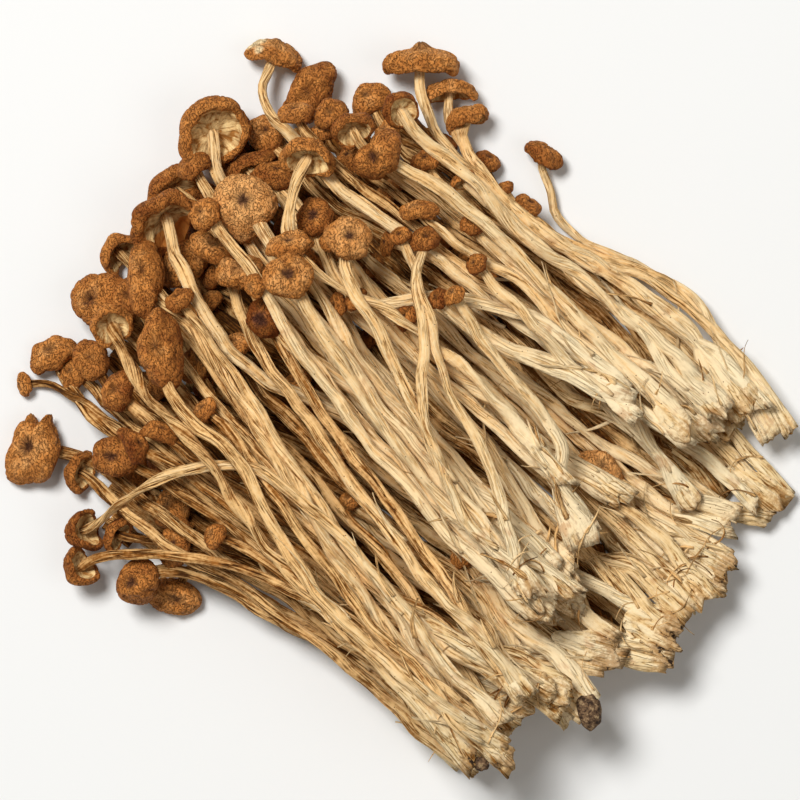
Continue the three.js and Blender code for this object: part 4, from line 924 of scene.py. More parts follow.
def add_cap(builder, mushroom, lift, settings, coarse, look):
    """A dried cap: rolled rim, wrinkled skin, creased middle and a gilled underside, lobed and buckled."""
    draw = np.random.default_rng(mushroom.seed + 500)
    columns = int(np.clip(math.tau * mushroom.radius / (settings.face / MM), *CAP_COLUMNS))
    if coarse:
        columns = COARSE_COLUMNS
    rows = max(FEWEST_ROWS, int(columns * 0.45))
    section = along_curve(CAP_SECTION, np.linspace(0, 1, rows + 1) ** 0.96)
    turn = full_turn(columns)
    r, h = np.maximum(section[:, :1], 0), section[:, 1:]
    high = section[:, 1:] > CAP_TOP
    upper = section[:, 1:] > 0
    lobe = sum(settings.lobes * draw.uniform(0.3, 1) / k**0.5 * np.cos(k * turn + draw.uniform(0, math.tau))
               for k in LOBES)
    wave = sum(draw.uniform(0.3, 1) * 0.08 * np.cos(k * turn + draw.uniform(0, math.tau)) for k in WAVES)
    if "outline" in look:
        lobe = cap_outline(mushroom, look["outline"], turn)
    r = r * CAP_FIT * (1 + lobe[None, :] * r**0.7)
    h = np.where(h > 0, h * look.get("flat", 1), h)
    h = h + look.get("peak", 0) * np.exp(-(r / 0.2) ** 2) * high
    h = h + wave[None, :] * r**2
    h = h - draw.uniform(0.05, 0.2) * high * ("peak" not in look) * np.exp(-(r / 0.22) ** 2)
    places = mushroom.middle + [0, 0, lift] + mushroom.cap_offset(r * np.sin(turn), r * np.cos(turn), h)

    # Wrinkles push the skin in and out along its own normal: a net of them, and rays near the middle. The
    # underside has the plates of the gills, buckled and crumpled.
    normal = outward_normals(places)
    share = np.linspace(0, 1, rows + 1)[:, None]
    top = step(GILL_SHARE, GILL_SHARE + 0.06, share) * step(0, 0.04, r)
    spin = np.stack(np.broadcast_arrays(np.cos(turn) * 2.6, np.sin(turn) * 2.6, r * 1.1), axis=-1)
    strays = [ripples(places, BEND_PITCH, mushroom.seed + 510 + k) for k in range(3)]
    bent = places + 0.7 * np.stack(strays, axis=-1)
    way = mushroom.sideways * math.cos(mushroom.seed) + mushroom.onward * math.sin(mushroom.seed)
    drawn_out = bent - 0.5 * (bent @ way)[..., None] * way
    maze = lines(ripples(drawn_out, settings.wrinkle_pitch / MM, mushroom.seed + 520, waves=18), 0.32)
    rays = lines(ripples(spin + 0.25 * bent, 0.6, mushroom.seed + 530, waves=12), 0.4)
    central = step(0.3, 0.08, r) * upper
    crease = np.maximum(maze * (1 - 0.7 * central), rays * central)
    swell = ripples(places, SWELL_PITCH, mushroom.seed + 540)
    push = top * (settings.wrinkle / MM * (0.3 - crease) + 0.5 * swell * (1 - 0.75 * r**2))
    plates = lines(ripples(spin * [1, 1, 0.6], 0.5, mushroom.seed + 550, waves=14), 0.5)
    buckle = ripples(places, BUCKLE_PITCH, mushroom.seed + 560)
    crumple = lines(ripples(bent, CRUMPLE_PITCH, mushroom.seed + 570, waves=14), 0.3)
    gills = (1 - top) * step(0.12, 0.3, r)
    push = push + gills * (0.15 - 0.1 * plates + 0.4 * buckle - 0.35 * crumple)
    places = places + normal * (push * min(1, mushroom.radius / USUAL_RADIUS))[..., None]
    places[:, -1] = places[:, 0]
    for row in (0, -1):
        places[row] = places[row].mean(axis=0)

    onward = r * mushroom.radius * 0.12
    grain = np.stack(np.broadcast_arrays(np.cos(turn) * 6, np.sin(turn) * 6, onward), axis=-1)
    grain = grain + draw.uniform(-GRAIN_SHIFT, GRAIN_SHIFT, 3)
    faces = [GILLS if k / rows < GILL_SHARE else CAP_SKIN for k in range(rows + 1)]
    dark = look.get("dark", draw.uniform(0.3, 1.0))
    spot = np.exp(-(r / look.get("spot", draw.uniform(0.14, 0.26))) ** 2) * upper
    torn = 0.0
    if "torn" in look:
        dx, dy, size = look["torn"]
        away = np.linalg.norm(places[..., :2] - mushroom.middle[:2] - [dx, dy], axis=2)
        torn = step(size, 0.7 * size, away + ripples(places, TEAR_PITCH, mushroom.seed + 580))
    # The depth of the wrinkles, and of the crumples and plates between the gills, is painted as shade by the
    # materials.
    values = {
        "crease_shade_and_soil": np.clip(top * crease + (1 - top) * (0.3 * plates + 0.7 * crumple), 0, 1),
        "tone": look.get("tone", draw.uniform(0.0, 0.5)),
        "pale": torn,
        "soil": 0.0,
        "centre": spot * dark,
        "reach": r,
    }
    builder.wrap(places, grain, faces, values)


def add_strand(builder, line, half, tone, pale, seed, around=6, flat=0.55, tip=0.25):
    """A root hair, torn strip or scrap of stem along the line, flattened, tapering to its far end."""
    draw = np.random.default_rng(seed)
    sides, ups, _ = carried_frames(line)
    turn = full_turn(around)
    walked = walked_along(line)
    taper = np.linspace(1, tip, len(line)) * (1 + 0.25 * ripples(walked[:, None], 4, seed + 1))
    roll = (0.9 * ripples(walked[:, None], 9, seed + 2) + draw.normal() * 0.3)[:, None]
    rows = np.concatenate([[0], np.arange(len(line)), [len(line) - 1]])
    size = np.concatenate([[0], taper, [0]])
    a = (half * size)[:, None] * np.cos(turn)
    b = (half * flat * size)[:, None] * np.sin(turn)
    places = swept(line[rows], sides[rows], ups[rows], roll[rows], a, b)
    round_mm = np.stack([np.cos(turn), np.sin(turn)], axis=-1) * half
    grain = on_skin(round_mm, walked[rows] * GRAIN_STRETCH) + draw.uniform(-30, 30, 3)
    values = {"crease_shade_and_soil": 0.0, "tone": tone, "pale": pale, "soil": 0.0, "centre": 0.0, "reach": 0.0}
    builder.wrap(places, grain, [STEM_FLESH] * len(rows), values)


# Strands, in mm.
STRAND_SLOPE = 0.45  # how far a laid strand falls or climbs over a millimetre
STRAND_REACH = 5  # how far a strand may stick out with nothing close under it
STRAND_LIFT = 0.6  # how far its middle lies over what is under it
LOOSE_GAP, NEAR_FLOOR = 2, 1  # nothing is close under it past this, or where the surface is lower than this
HAIR_HALF, STRIP_HALF = (0.3, 0.6), (0.5, 1.0)  # least and most half width
HAIR_LENGTH, STRIP_LENGTH = (12, 30), (14, 42)


def laid(heap, places, highest):
    """The plan places laid on the heap as a line in 3-D below the highest height. It falls and climbs gently,
    as a stiff dried strand does, and ends where nothing has been close under it for STRAND_REACH places.
    Where it would start beside the heap there is no line, and None comes back."""
    hits = [surface_under(heap, x, y)[0] for x, y in places]
    if None in hits[:STRAND_REACH]:
        return None
    under = np.minimum(np.array([hit.z if hit else 0.0 for hit in hits]) + STRAND_LIFT, highest)
    z = under.copy()
    for k in range(1, len(z)):
        z[k] = max(z[k], z[k - 1] - STRAND_SLOPE)
    for k in range(len(z) - 2, -1, -1):
        z[k] = max(z[k], z[k + 1] - STRAND_SLOPE)
    loose = (z - under > LOOSE_GAP) | (under < NEAR_FLOOR)
    count = next((k for k in range(STRAND_REACH, len(z)) if loose[k - STRAND_REACH:k].all()), len(z))
    return np.column_stack([places[:count], z[:count]])


def curl(draw, start, angle, length, stray):
    """Plan points 1 mm apart from the start on a curl that sets off at the angle and strays from it."""
    bend, places = draw.uniform(-1, 1) * stray, [start]
    for _ in range(max(4, int(length))):
        bend = 0.8 * bend + draw.uniform(-0.8, 0.8) * stray
        angle += bend
        places.append(places[-1] + [math.cos(angle), math.sin(angle)])
    return np.array(places)


def root_hairs(builder, stems, heap, seed, count):
    """Thin root hairs that start near the cut end of a clump and lie in loose curls on what is under them."""
    draw = np.random.default_rng(seed + 900)
    for k in range(count):
        line, sides, _, ahead = stems[k % len(stems)]
        start = line[0] + ahead[0] * draw.uniform(1, 16) + sides[0] * draw.uniform(-3, 3)
        angle = math.atan2(ahead[0][1], ahead[0][0]) + draw.normal() * 0.8
        places = curl(draw, start[:2], angle, draw.uniform(*HAIR_LENGTH), 0.17)
        half, tone, pale = draw.uniform(*HAIR_HALF), draw.uniform(-0.9, 0.3), draw.uniform(0, 0.2)
        line = laid(heap, places, start[2] + 3.5)
        if line is not None:
            add_strand(builder, evened(line, 1.2, 1.3), half, tone, pale, seed + k)


def torn_strips(builder, stems, heap, seed, count):
    """Narrow strips torn off the stems, lying along them on top of the clump."""
    draw = np.random.default_rng(seed + 950)
    for k in range(count):
        line, sides, _, ahead = stems[k % len(stems)]
        row = int(draw.uniform(0.02, 0.4) * len(line))
        start = line[row] + sides[row] * draw.uniform(-3, 3)
        angle = math.atan2(ahead[row][1], ahead[row][0]) + draw.uniform(-0.3, 0.3)
        places = curl(draw, start[:2], angle, draw.uniform(*STRIP_LENGTH), 0.06)
        half, tone, pale = draw.uniform(*STRIP_HALF), draw.uniform(-0.4, 0.8), draw.uniform(0.1, 0.6)
        line = laid(heap, places, start[2] + 5)
        if line is not None:
            add_strand(builder, evened(line, 1.6, 1.6), half, tone, pale, seed + 50 + k)


# How single caps differ: a clump's name and a mushroom's place in it, with how its cap looks. An outline is
# plan offsets in mm from the cap's middle. Torn is the plan offset and size of a patch of torn pale flesh.
# Dark and spot are how dark the middle is and how wide. Tone is 0 for a brown cap and 1 for a pale one. Flat
# is the height of the top over its usual one, and peak the height of a point on it.
CAP_LOOKS = {
    ("left_torn", 0): {
        "outline": [[-8.4, -10.3], [-0.4, -11.2], [5.4, -9.9], [8.1, -1.4], [7.2, 4.1], [5.8, 7.6],
                    [4.9, 10.8], [3.2, 8.6], [1.6, 6.2], [0.2, 8.6], [-0.7, 10.6], [-1.9, 8.3],
                    [-3.6, 8.0], [-6.6, 1.2]],
        "dark": 0.9, "spot": 0.25, "tone": 0.5},
    ("left_torn", 1): {"tone": 0.3},
    ("face_up_large", 0): {
        "outline": [[-1, 9], [3.8, 7.2], [8, 3.8], [10.2, -1.6], [5.1, -7.7], [2.9, -10.6], [-1.9, -13.1],
                    [-5.8, -8], [-9.9, -4.2], [-10.2, 1], [-8, 6], [-4.2, 8.6]],
        "dark": 1.2, "spot": 0.2, "tone": 0.8},
    ("left_elongated", 0): {
        "outline": [[1.3, 13.1], [-4.2, 7.4], [-5.9, 0.4], [-3.5, -6.4], [1.9, -12.5], [7.4, -10.6], [8, 0.6],
                    [6.7, 8.6]],
        "dark": 0.5, "spot": 0.12, "tone": 0.22},
    ("top_torn", 0): {"torn": [-6.5, 4, 4.5], "flat": 0.6, "peak": 0.2, "tone": 0.55},
    ("top_oval", 0): {
        "outline": [[-8.5, -4.5], [-6, 2], [-1.5, 8.5], [4, 11], [7.5, 9.5], [7.5, 4], [4, -3.5],
                    [-1.5, -8.5], [-6, -8.5]],
        "dark": 0.4, "spot": 0.15, "tone": 0.2},
    ("round_middle", 0): {"dark": 1.1, "spot": 0.22, "tone": 0.55},
    ("dotted_kidney", 0): {"dark": 1.2, "spot": 0.15, "tone": 0.68},
    ("dark_round", 0): {"dark": 1.1, "spot": 0.3, "tone": 0.2},
    ("dark_red", 0): {"dark": 1.2, "spot": 0.4, "tone": -0.1},
    ("left_round", 0): {"dark": 0.9, "spot": 0.3, "tone": 0.2},
    ("left_large", 0): {
        "outline": [[-7.5, 2], [-5, 6.5], [1.5, 8], [8, 8], [10.5, 3], [8.5, -3.5], [2, -8.5], [-4, -6]],
        "dark": 0.8, "spot": 0.3, "tone": 0.38},
    ("left_kidney", 0): {
        "outline": [[-4, 4], [-1, 10.5], [4.5, 10.5], [6.5, 4], [5, -5], [2, -12.5], [-2, -12.5], [-4.5, -5]],
        "dark": 0.6, "spot": 0.2, "tone": 0.35},
    ("front_edge", 0): {
        "outline": [[-10.5, -1], [-7.5, 3], [-2, 5.5], [3, 4], [8, -1], [6.5, -5], [0, -6], [-6.5, -4.5]],
        "dark": 0.7, "spot": 0.3, "tone": 0.5},
    ("front_edge", 1): {
        "outline": [[-5.5, 2], [-3, 6], [2.5, 6.5], [6, 3.5], [4.5, -3], [-1, -8], [-5, -6]],
        "dark": 0.9, "spot": 0.25, "tone": 0.25},
    ("umbrella_trio", 0): {"flat": 0.6, "peak": 0.22, "tone": 0.55},
    ("umbrella_trio", 1): {"flat": 0.7, "tone": 0.55},
    ("umbrella_trio", 2): {"tone": 0.55},
    ("upper_large_gills", 0): {"tone": 0.4},
    ("left_folded", 0): {
        "outline": [[-11, -3], [-7, 4], [0, 7], [7, 6], [10, 0], [10, -8], [5, -13], [-2, -12], [-8, -8]],
        "tone": 0.35},
    ("upper_curl", 0): {"tone": 0.5},
    ("flat_oval", 0): {"tone": 0.5},
    ("kidney_right", 0): {
        "outline": [[2, 8], [6.5, 6], [6, -0.5], [2, -6], [-3, -8], [-7, -5], [-6.5, 0.5], [-2.5, 3.5]],
        "dark": 0.9, "spot": 0.2, "tone": 0.3},
    ("kidney_lobes", 0): {
        "outline": [[-6.5, 1], [-4, 5], [0, 3.5], [5, -1], [7, -3.5], [4, -6], [-1.5, -4.5], [-5.5, -1.5]],
        "tone": 0.5, "dark": 0.2},
    ("kidney_lobes", 1): {
        "outline": [[-7.5, 0], [-6, 3], [-1, 2.5], [6.5, 4.5], [8, 0], [4.5, -4], [-1, -5], [-5.5, -4]],
        "tone": 0.55, "dark": 0.2},
    ("left_gill_stem", 0): {"tone": 0.4},
    ("orange_cap_low", 0): {"tone": 0.75},
}
# How light the stems of a clump are: 0 is brown, 1 is pale, and below 0 is darker still. This is partly the
# stems' own colour and partly painted shade: the lower clumps at the left are darker and the top ones pale.
# Those of a clump that isn't here vary from 0 to 1, and the hidden ones have HIDDEN_SHADE_TONE.
STEM_TONES = {
    "upper_curl": 1.0, "umbrella_trio": 0.8, "pale_curled": 1.0, "kidney_right": 0.9, "standing_pair": 0.9,
    "face_up_large": 0.9, "upper_large_gills": 0.9, "dotted_kidney": 0.9, "crossing_right": 1.0,
    "upper_wide_pale": 1.0, "wide_ribbon": 1.0, "pale_ribbon": 1.0, "dark_round": 0.95, "mid_row": 0.9,
    "round_middle": 0.95, "upper_gilled_lobe": 0.7, "flat_oval": 0.8, "dark_red": 0.7, "left_kidney": 0.5,
    "curly_long": 0.5, "left_gill_stem": 0.15, "left_elongated": 0.2, "left_lobe": 0.15, "left_torn": 0.05,
    "front_edge": 0.1, "left_large": 0.1, "left_gills": 0.3, "left_shade": -0.2, "left_low": 0.0,
    "left_round": -0.1, "orange_pair": 0.0, "front_low": -0.1, "top_left_brown": 0.2, "back_right_dark": 0.1,
    "top_oval": 0.3,
}
# The hidden stems are darker still: painted shade for the clumps that lie under the others.
HIDDEN_SHADE_TONE = -0.3
# How much soil is on a clump's cut end, from 0 to 1.
SOILED = {"black_root": 0.35, "soil_root_low": 0.55, "sharp_root_low": 0.5, "orange_cap_low": 0.45,
          "left_gill_stem": 0.6, "left_elongated": 0.5, "left_torn": 0.4}
USUAL_SOIL = 0.38
# How many root hairs and torn strips lie on a clump.
HAIRS = {"wide_ribbon": 6, "short_root_low": 7, "soil_root_low": 8, "orange_cap_low": 7, "dotted_kidney": 4,
         "upper_wide_pale": 4, "left_low": 5, "kidney_right": 2, "back_left_gills": 5, "standing_pair": 3}
USUAL_HAIRS = 1
STRIPS = 3
# Knobs of dried soil on a clump: the plan place of its middle and its half sizes, in mm.
KNOBS = {"black_root": ([60.2, -99.2], [3.8, 6.0, 3.6]), "left_gill_stem": ([25.5, -114.5], [2.6, 2.0, 1.6])}
# Clumps whose stems have plain cut ends, with no blade that joins them.
PLAIN_CUTS = {"pale_ribbon", "wide_ribbon", "upper_wide_pale", "crossing_right", "right_low", "left_lobe",
              "curly_long", "far_right_thin", "dark_red", "flat_oval"}
THIN_SHARE = 0.1  # share of a piece's map that its thin sheets take: strands, blade and knob


def node_tree(nodes):
    """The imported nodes' surfaces in mm, for ray casts."""
    corners, faces = [], []
    for node in nodes:
        faces += [tuple(len(corners) + v for v in p.vertices) for p in node.data.polygons]
        corners += [tuple(np.array(v.co) / MM + CENTRE) for v in node.data.vertices]
    return np.array(corners), BVHTree.FromPolygons(corners, faces)


def dress(clump, index, heap):
    """Builds the detailed piece for one packed clump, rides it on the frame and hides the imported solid."""
    settings = bpy.context.scene.mushrooms
    name, root, members = clump
    coarse = name.startswith("hidden")
    corners, tree = node_tree([frame["nodes"][name]])
    hairs = 0 if coarse else HAIRS.get(name, USUAL_HAIRS)
    soil = SOILED.get(name, USUAL_SOIL)
    tone = HIDDEN_SHADE_TONE if coarse else STEM_TONES.get(name)
    sheets = np.linspace(THIN_SHARE, 1, len(members) * 2 + 1)
    thin = np.linspace(0, THIN_SHARE, 4 + hairs + STRIPS)
    builder = Builder([*zip(sheets, sheets[1:]), *zip(thin, thin[1:])])
    stems = []
    seed = 1000 * (index + 1)
    for k, member in enumerate(members):
        side = (k - (len(members) - 1) / 2) * CLUMP_SPACING
        mushroom = Mushroom(member, root, side, seed + 100 * k)
        lift = mushroom.lift(corners)
        line = stem_line(mushroom, tree, lift)
        stems.append(add_stem(builder, mushroom, line, settings.stem, coarse, soil, tone))
        add_cap(builder, mushroom, lift, settings.cap, coarse, CAP_LOOKS.get((name, k), {}))
    if not coarse:
        if name not in PLAIN_CUTS:
            add_root(builder, stems, CLUMP_SPACING, soil, seed)
        if name in KNOBS:
            place, size = KNOBS[name]
            add_knob(builder, np.array([*place, surface_under(heap, *place)[0].z]), np.array(size), seed)
        root_hairs(builder, stems, heap, seed, hairs)
        torn_strips(builder, stems, heap, seed, STRIPS)
    piece = builder.finish("clump_" + name)
    for maker in (stem_flesh, cap_skin, gill_flesh, compost):
        piece.data.materials.append(bpy.data.materials.get(maker.__name__) or maker())
    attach(piece, "root")
    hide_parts(name)


# Gaps and the scraps in them, in mm.
GRID_PITCH = 1.5
GRID_REACH = 134  # from the middle of the plan to the sides of the grid
GAP_REACH = 8  # a gap has something this near to it in GAP_SIDES of the eight ways
GAP_SIDES = 6
EDGE_MARGIN = 12  # scraps stay this far inside the heap's outline
SCRAP_SEED = 77
SCRAP_LENGTH = (14, 24)  # each way from where it starts
SCRAP_HEIGHT = (0.9, 2.0)
SCRAP_HALF = (2.4, 3.2)
# The scraps are toned dark: painted shade in the gaps between the lowest mushrooms.
SCRAP_SHADE_TONE = (-1.4, -0.5)  # as for STEM_TONES
SCRAP_REACH = 2.2  # a gap this near to a scrap's middle line is filled by it
SHORTEST_SCRAP = 4


def shifted(grid, reach):
    """The grid moved by `reach` cells in each of eight ways."""
    for dj, di in ((0, 1), (1, 1), (1, 0), (1, -1), (0, -1), (-1, -1), (-1, 0), (-1, 1)):
        yield np.roll(grid, (dj * reach, di * reach), axis=(0, 1))


def open_gaps(pieces):
    """Where the floor shows between the detailed pieces from above the heap's middle: plan coordinates of a
    grid's lines, a grid of the gaps that the heap surrounds, and one of the places well inside."""
    side = np.arange(-GRID_REACH, GRID_REACH + 1, GRID_PITCH)
    middle = Vector(CENTRE * MM)
    eye = Vector((0, 0, CAMERA_HEIGHT))
    empty = np.ones((len(side), len(side)), bool)
    for piece in pieces:
        mesh = piece.data
        tree = BVHTree.FromPolygons([v.co for v in mesh.vertices], [p.vertices for p in mesh.polygons])
        corners = np.array([tuple(c) for c in piece.bound_box]) / MM + CENTRE
        low, high = corners.min(axis=0) - 4, corners.max(axis=0) + 4
        for j, i in zip(*np.nonzero(empty)):
            if low[0] < side[i] < high[0] and low[1] < side[j] < high[1]:
                spot = Vector((side[i] * MM, side[j] * MM, 0)) - eye
                empty[j, i] = tree.ray_cast(eye - middle, spot)[0] is None
    reached = [np.zeros_like(empty) for _ in range(8)]
    for reach in range(1, int(GAP_REACH / GRID_PITCH) + 1):
        for met, moved in zip(reached, shifted(empty, reach)):
            met |= ~moved
    gaps = empty & (sum(met.astype(int) for met in reached) >= GAP_SIDES)
    inside = ~empty | gaps
    for reach in range(1, int(EDGE_MARGIN / GRID_PITCH) + 1):
        inside = np.logical_and.reduce([inside, *shifted(~empty | gaps, reach)])
    return side, gaps, inside


def nearest_run(spot):
    """The way from the roots to the caps beside a plan place."""
    roots, caps = np.array(ROOT_ARC, float), np.array(CAP_ARC, float)
    away = [np.min(np.linalg.norm(along_curve(ends, np.linspace(0, 1, 21)) - spot, axis=1))
            for ends in zip(roots, caps)]
    return (caps - roots)[int(np.argmin(away))]


def add_scraps(pieces):
    """One piece with scraps of broken stem that lie low in the gaps between the lowest mushrooms, toned dark
    as painted shade in the gaps.
    """
    draw = np.random.default_rng(SCRAP_SEED)
    side, gaps, inside = open_gaps(pieces)
    left = np.array([[side[i], side[j]] for j, i in zip(*np.nonzero(gaps & inside))])
    scraps = []
    while len(left):
        spot = left[0]
        run = nearest_run(spot)
        angle = math.atan2(run[1], run[0]) + draw.uniform(-0.12, 0.12)
        kept = []
        for turned in (angle, angle + math.pi):
            places = curl(draw, spot, turned, draw.uniform(*SCRAP_LENGTH), 0.012)
            cells = np.clip(np.round((places - side[0]) / GRID_PITCH).astype(int), 0, len(side) - 1)
            good = inside[cells[:, 1], cells[:, 0]]
            kept.append(places[: len(places) if good.all() else int(np.argmin(good))])
        places = np.vstack([kept[0][::-1], kept[1][1:]])
        if len(places) > SHORTEST_SCRAP:
            scraps.append(np.column_stack([places, np.full(len(places), draw.uniform(*SCRAP_HEIGHT))]))
        places = np.vstack([places, spot])
        left = left[np.min(np.linalg.norm(left[:, None] - places[None], axis=2), axis=1) > SCRAP_REACH]
    sheets = np.linspace(0, 1, len(scraps) + 1)
    builder = Builder(zip(sheets, sheets[1:]))
    for k, line in enumerate(scraps):
        half, tone = draw.uniform(*SCRAP_HALF), draw.uniform(*SCRAP_SHADE_TONE)
        line = evened(line, 2.5, 1.5)
        add_strand(builder, line, half, tone, 0.0, 700 + 10 * k, around=12, flat=0.35, tip=0.8)
    return builder.finish("stem_scraps")


# ---- Materials ----

# Colours that stand between those of the settings.
STEM_CRACK = linear(0x472607)
ROOT_CRACK, ROOT_GROOVE, ROOT_MIDDLE = linear(0x5E3610), linear(0xB07E44), linear(0xEACB93)
SAP_STAIN, SAP_SPECK, EARTH_STAIN = linear(0xB4702C), linear(0x7A4E26), linear(0x9C641E)
CAP_BROWN = linear(0x874717)
CRUMB, PALE_CRUMB = linear(0x7A5F45), linear(0xB39A72)


def add(tree, kind, inputs=(), output=0, stops=(), **settings):
    """Adds a node with its settings and links, and returns one of its outputs. inputs pairs a socket's name
    or number with a value or an output, and stops are the places and colours of a colour ramp."""
    made = tree.nodes.new("ShaderNode" + kind)
    for name, value in settings.items():
        setattr(made, name, value)
    for key, value in dict(inputs).items():
        if isinstance(value, bpy.types.NodeSocket):
            tree.links.new(value, made.inputs[key])
        else:
            made.inputs[key].default_value = value
    if stops:
        elements = made.color_ramp.elements
        while len(elements) < len(stops):
            elements.new(0.5)
        for element, (place, colour) in zip(elements, stops):
            element.position = place
            element.color = (*colour[:3], 1)
    return made.outputs[output] if made.outputs else None


def blank(name):
    """A material with no nodes yet, and its tree."""
    material = bpy.data.materials.new(name)
    material.use_nodes = True
    material.node_tree.nodes.clear()
    return material, material.node_tree


def carried(tree, *names):
    """The numbers of these names that a piece's points carry."""
    return [add(tree, "Attribute", output="Fac", attribute_name=name) for name in names]


def sums(tree, *terms):
    """A socket with the sum of (output, weight) terms and plain numbers."""
    total = sum(t for t in terms if not isinstance(t, tuple))
    for output, weight in (t for t in terms if isinstance(t, tuple)):
        total = add(tree, "Math", {0: output, 1: weight, 2: total}, operation="MULTIPLY_ADD")
    return total


def coated(tree, share, under, over):
    """The colour under it, with the share of it that the colour over it covers."""
    over = (*over[:3], 1) if not isinstance(over, bpy.types.NodeSocket) else over
    return add(tree, "Mix", {0: share, 6: under, 7: over}, output=2, data_type="RGBA")


def rising(tree, value, low, high):
    """0 where the value is low and 1 where it is high, with a smooth step between; low may be the higher."""
    inputs = {0: value, 1: min(low, high), 2: max(low, high), 3: float(low > high), 4: float(low < high)}
    return add(tree, "MapRange", inputs, interpolation_type="SMOOTHSTEP")


def warped(tree, vector, size_mm, by_mm):
    """The vector in metres moved by smooth noise, by_mm at most, so that a pattern on it wavers."""
    bumps = {"Vector": vector, "Scale": 1 / (size_mm * MM), "Detail": 1.0}
    moved = {0: add(tree, "TexNoise", bumps, output="Color"), 1: [2 * by_mm * MM] * 3, 2: vector}
    return add(tree, "VectorMath", moved, operation="MULTIPLY_ADD")


def thin_lines(tree, value, width):
    """1 where the noise crosses its middle, 0 away from there: thin closed lines."""
    off = add(tree, "Math", {0: value, 1: 0.5}, operation="SUBTRACT")
    return rising(tree, add(tree, "Math", {0: off}, operation="ABSOLUTE"), width, 0.0)


def surfaced(material, colour, roughness, height=None, depth_mm=0.0):
    """Finishes the material as dry matt flesh or paper with a faint gloss, and with a relief from a height
    from 0 to 1 that stands depth_mm high."""
    tree = material.node_tree
    inputs = {"Base Color": colour, "Roughness": roughness, "IOR": 1.45, "Specular IOR Level": 0.2}
    if height is not None:
        inputs["Normal"] = add(tree, "Bump", {"Height": height, "Distance": depth_mm * MM, "Strength": 1.0})
    add(tree, "OutputMaterial", {"Surface": add(tree, "BsdfPrincipled", inputs)})
    return material


def stem_flesh():
    """Dried mushroom stem: fibrous flesh that shrank into lengthwise ridges, pale and matt, darker towards
    the cap, partly its own browner colour and partly painted shade under the caps, with painted shade in its
    folds, dark cracks between the fibres and specks of dried sap."""
    colours = bpy.context.scene.mushrooms.colours
    material, tree = blank("stem_flesh")
    place = add(tree, "TexCoord", output="Object")
    grain = add(tree, "Attribute", output="Vector", attribute_name="grain")
    crease_shade_and_soil, reach, tone, pale, soil = carried(tree, "crease_shade_and_soil", "reach", "tone", "pale", "soil")
    fibres = add(tree, "TexNoise", {"Vector": grain, "Scale": 1 / 0.5, "Detail": 3, "Roughness": 0.7})
    bands = add(tree, "TexNoise", {"Vector": grain, "Scale": 1 / 2.2, "Detail": 2, "Roughness": 0.5})
    split = add(tree, "TexNoise", {"Vector": grain, "Scale": 1 / 1.0, "Detail": 2, "Roughness": 0.5,
                                   "Distortion": 0.3})
    dry = add(tree, "TexNoise", {"Vector": place, "Scale": 1 / (9 * MM), "Detail": 1, "Roughness": 0.5})
    mottle = add(tree, "TexNoise", {"Vector": place, "Scale": 1 / (1.4 * MM), "Detail": 3, "Roughness": 0.6})
    blotches = add(tree, "TexNoise", {"Vector": place, "Scale": 1 / (7 * MM), "Detail": 2, "Roughness": 0.6})
    crumbs = add(tree, "TexNoise", {"Vector": place, "Scale": 1 / (1.6 * MM), "Detail": 3, "Roughness": 0.7})
    specks = add(tree, "TexVoronoi", {"Vector": place, "Scale": 1 / (2.6 * MM), "Randomness": 1.0})

    # Cracks open where the flesh is driest.
    cracks = add(tree, "Math", {0: thin_lines(tree, split, 0.06), 1: rising(tree, dry, 0.32, 0.52)},
                 operation="MULTIPLY")
    # Painted shade: the value is darker in the folds and valleys (crease_shade_and_soil).
    value = sums(tree, (fibres, 0.85), (bands, 0.6), (mottle, 0.4), (cracks, -0.28), (crease_shade_and_soil, -0.36),
                 # Towards the cap (reach) the stem is darker: partly its own browner colour, partly painted
                 # shade under the caps.
                 (reach, -0.26), (tone, 0.36), -0.34)
    skin = add(tree, "ValToRGB", {0: value}, stops=[
        (0.0, STEM_CRACK), (0.22, colours.stem_dark), (0.5, colours.stem_middle), (0.85, colours.stem_light)])
    fresh = add(tree, "ValToRGB", {0: value}, stops=[
        (0.0, ROOT_CRACK), (0.22, ROOT_GROOVE), (0.42, ROOT_MIDDLE), (0.8, colours.root)])
    colour = coated(tree, pale, skin, fresh)
    stained = rising(tree, sums(tree, (blotches, 1.0), (fibres, 0.5)), 0.84, 1.02)
    stained = add(tree, "Math", {0: stained, 1: 0.5}, operation="MULTIPLY")
    colour = coated(tree, stained, colour, SAP_STAIN)
    colour = coated(tree, rising(tree, specks, 0.1, 0.05), colour, SAP_SPECK)
    dirt = sums(tree, (soil, 1.3), (crumbs, 1.3), (crease_shade_and_soil, 0.3), -1.3)
    earthy = add(tree, "Math", {0: rising(tree, dirt, -0.4, 0.1), 1: 0.65}, operation="MULTIPLY")
    colour = coated(tree, earthy, colour, EARTH_STAIN)
    colour = coated(tree, rising(tree, dirt, 0.14, 0.42), colour, colours.soil)
    rough = add(tree, "MapRange", {0: fibres, 3: 0.72, 4: 0.95})
    return surfaced(material, colour, rough, sums(tree, (fibres, 0.6), (mottle, 0.5), (cracks, -0.5)), 0.8)


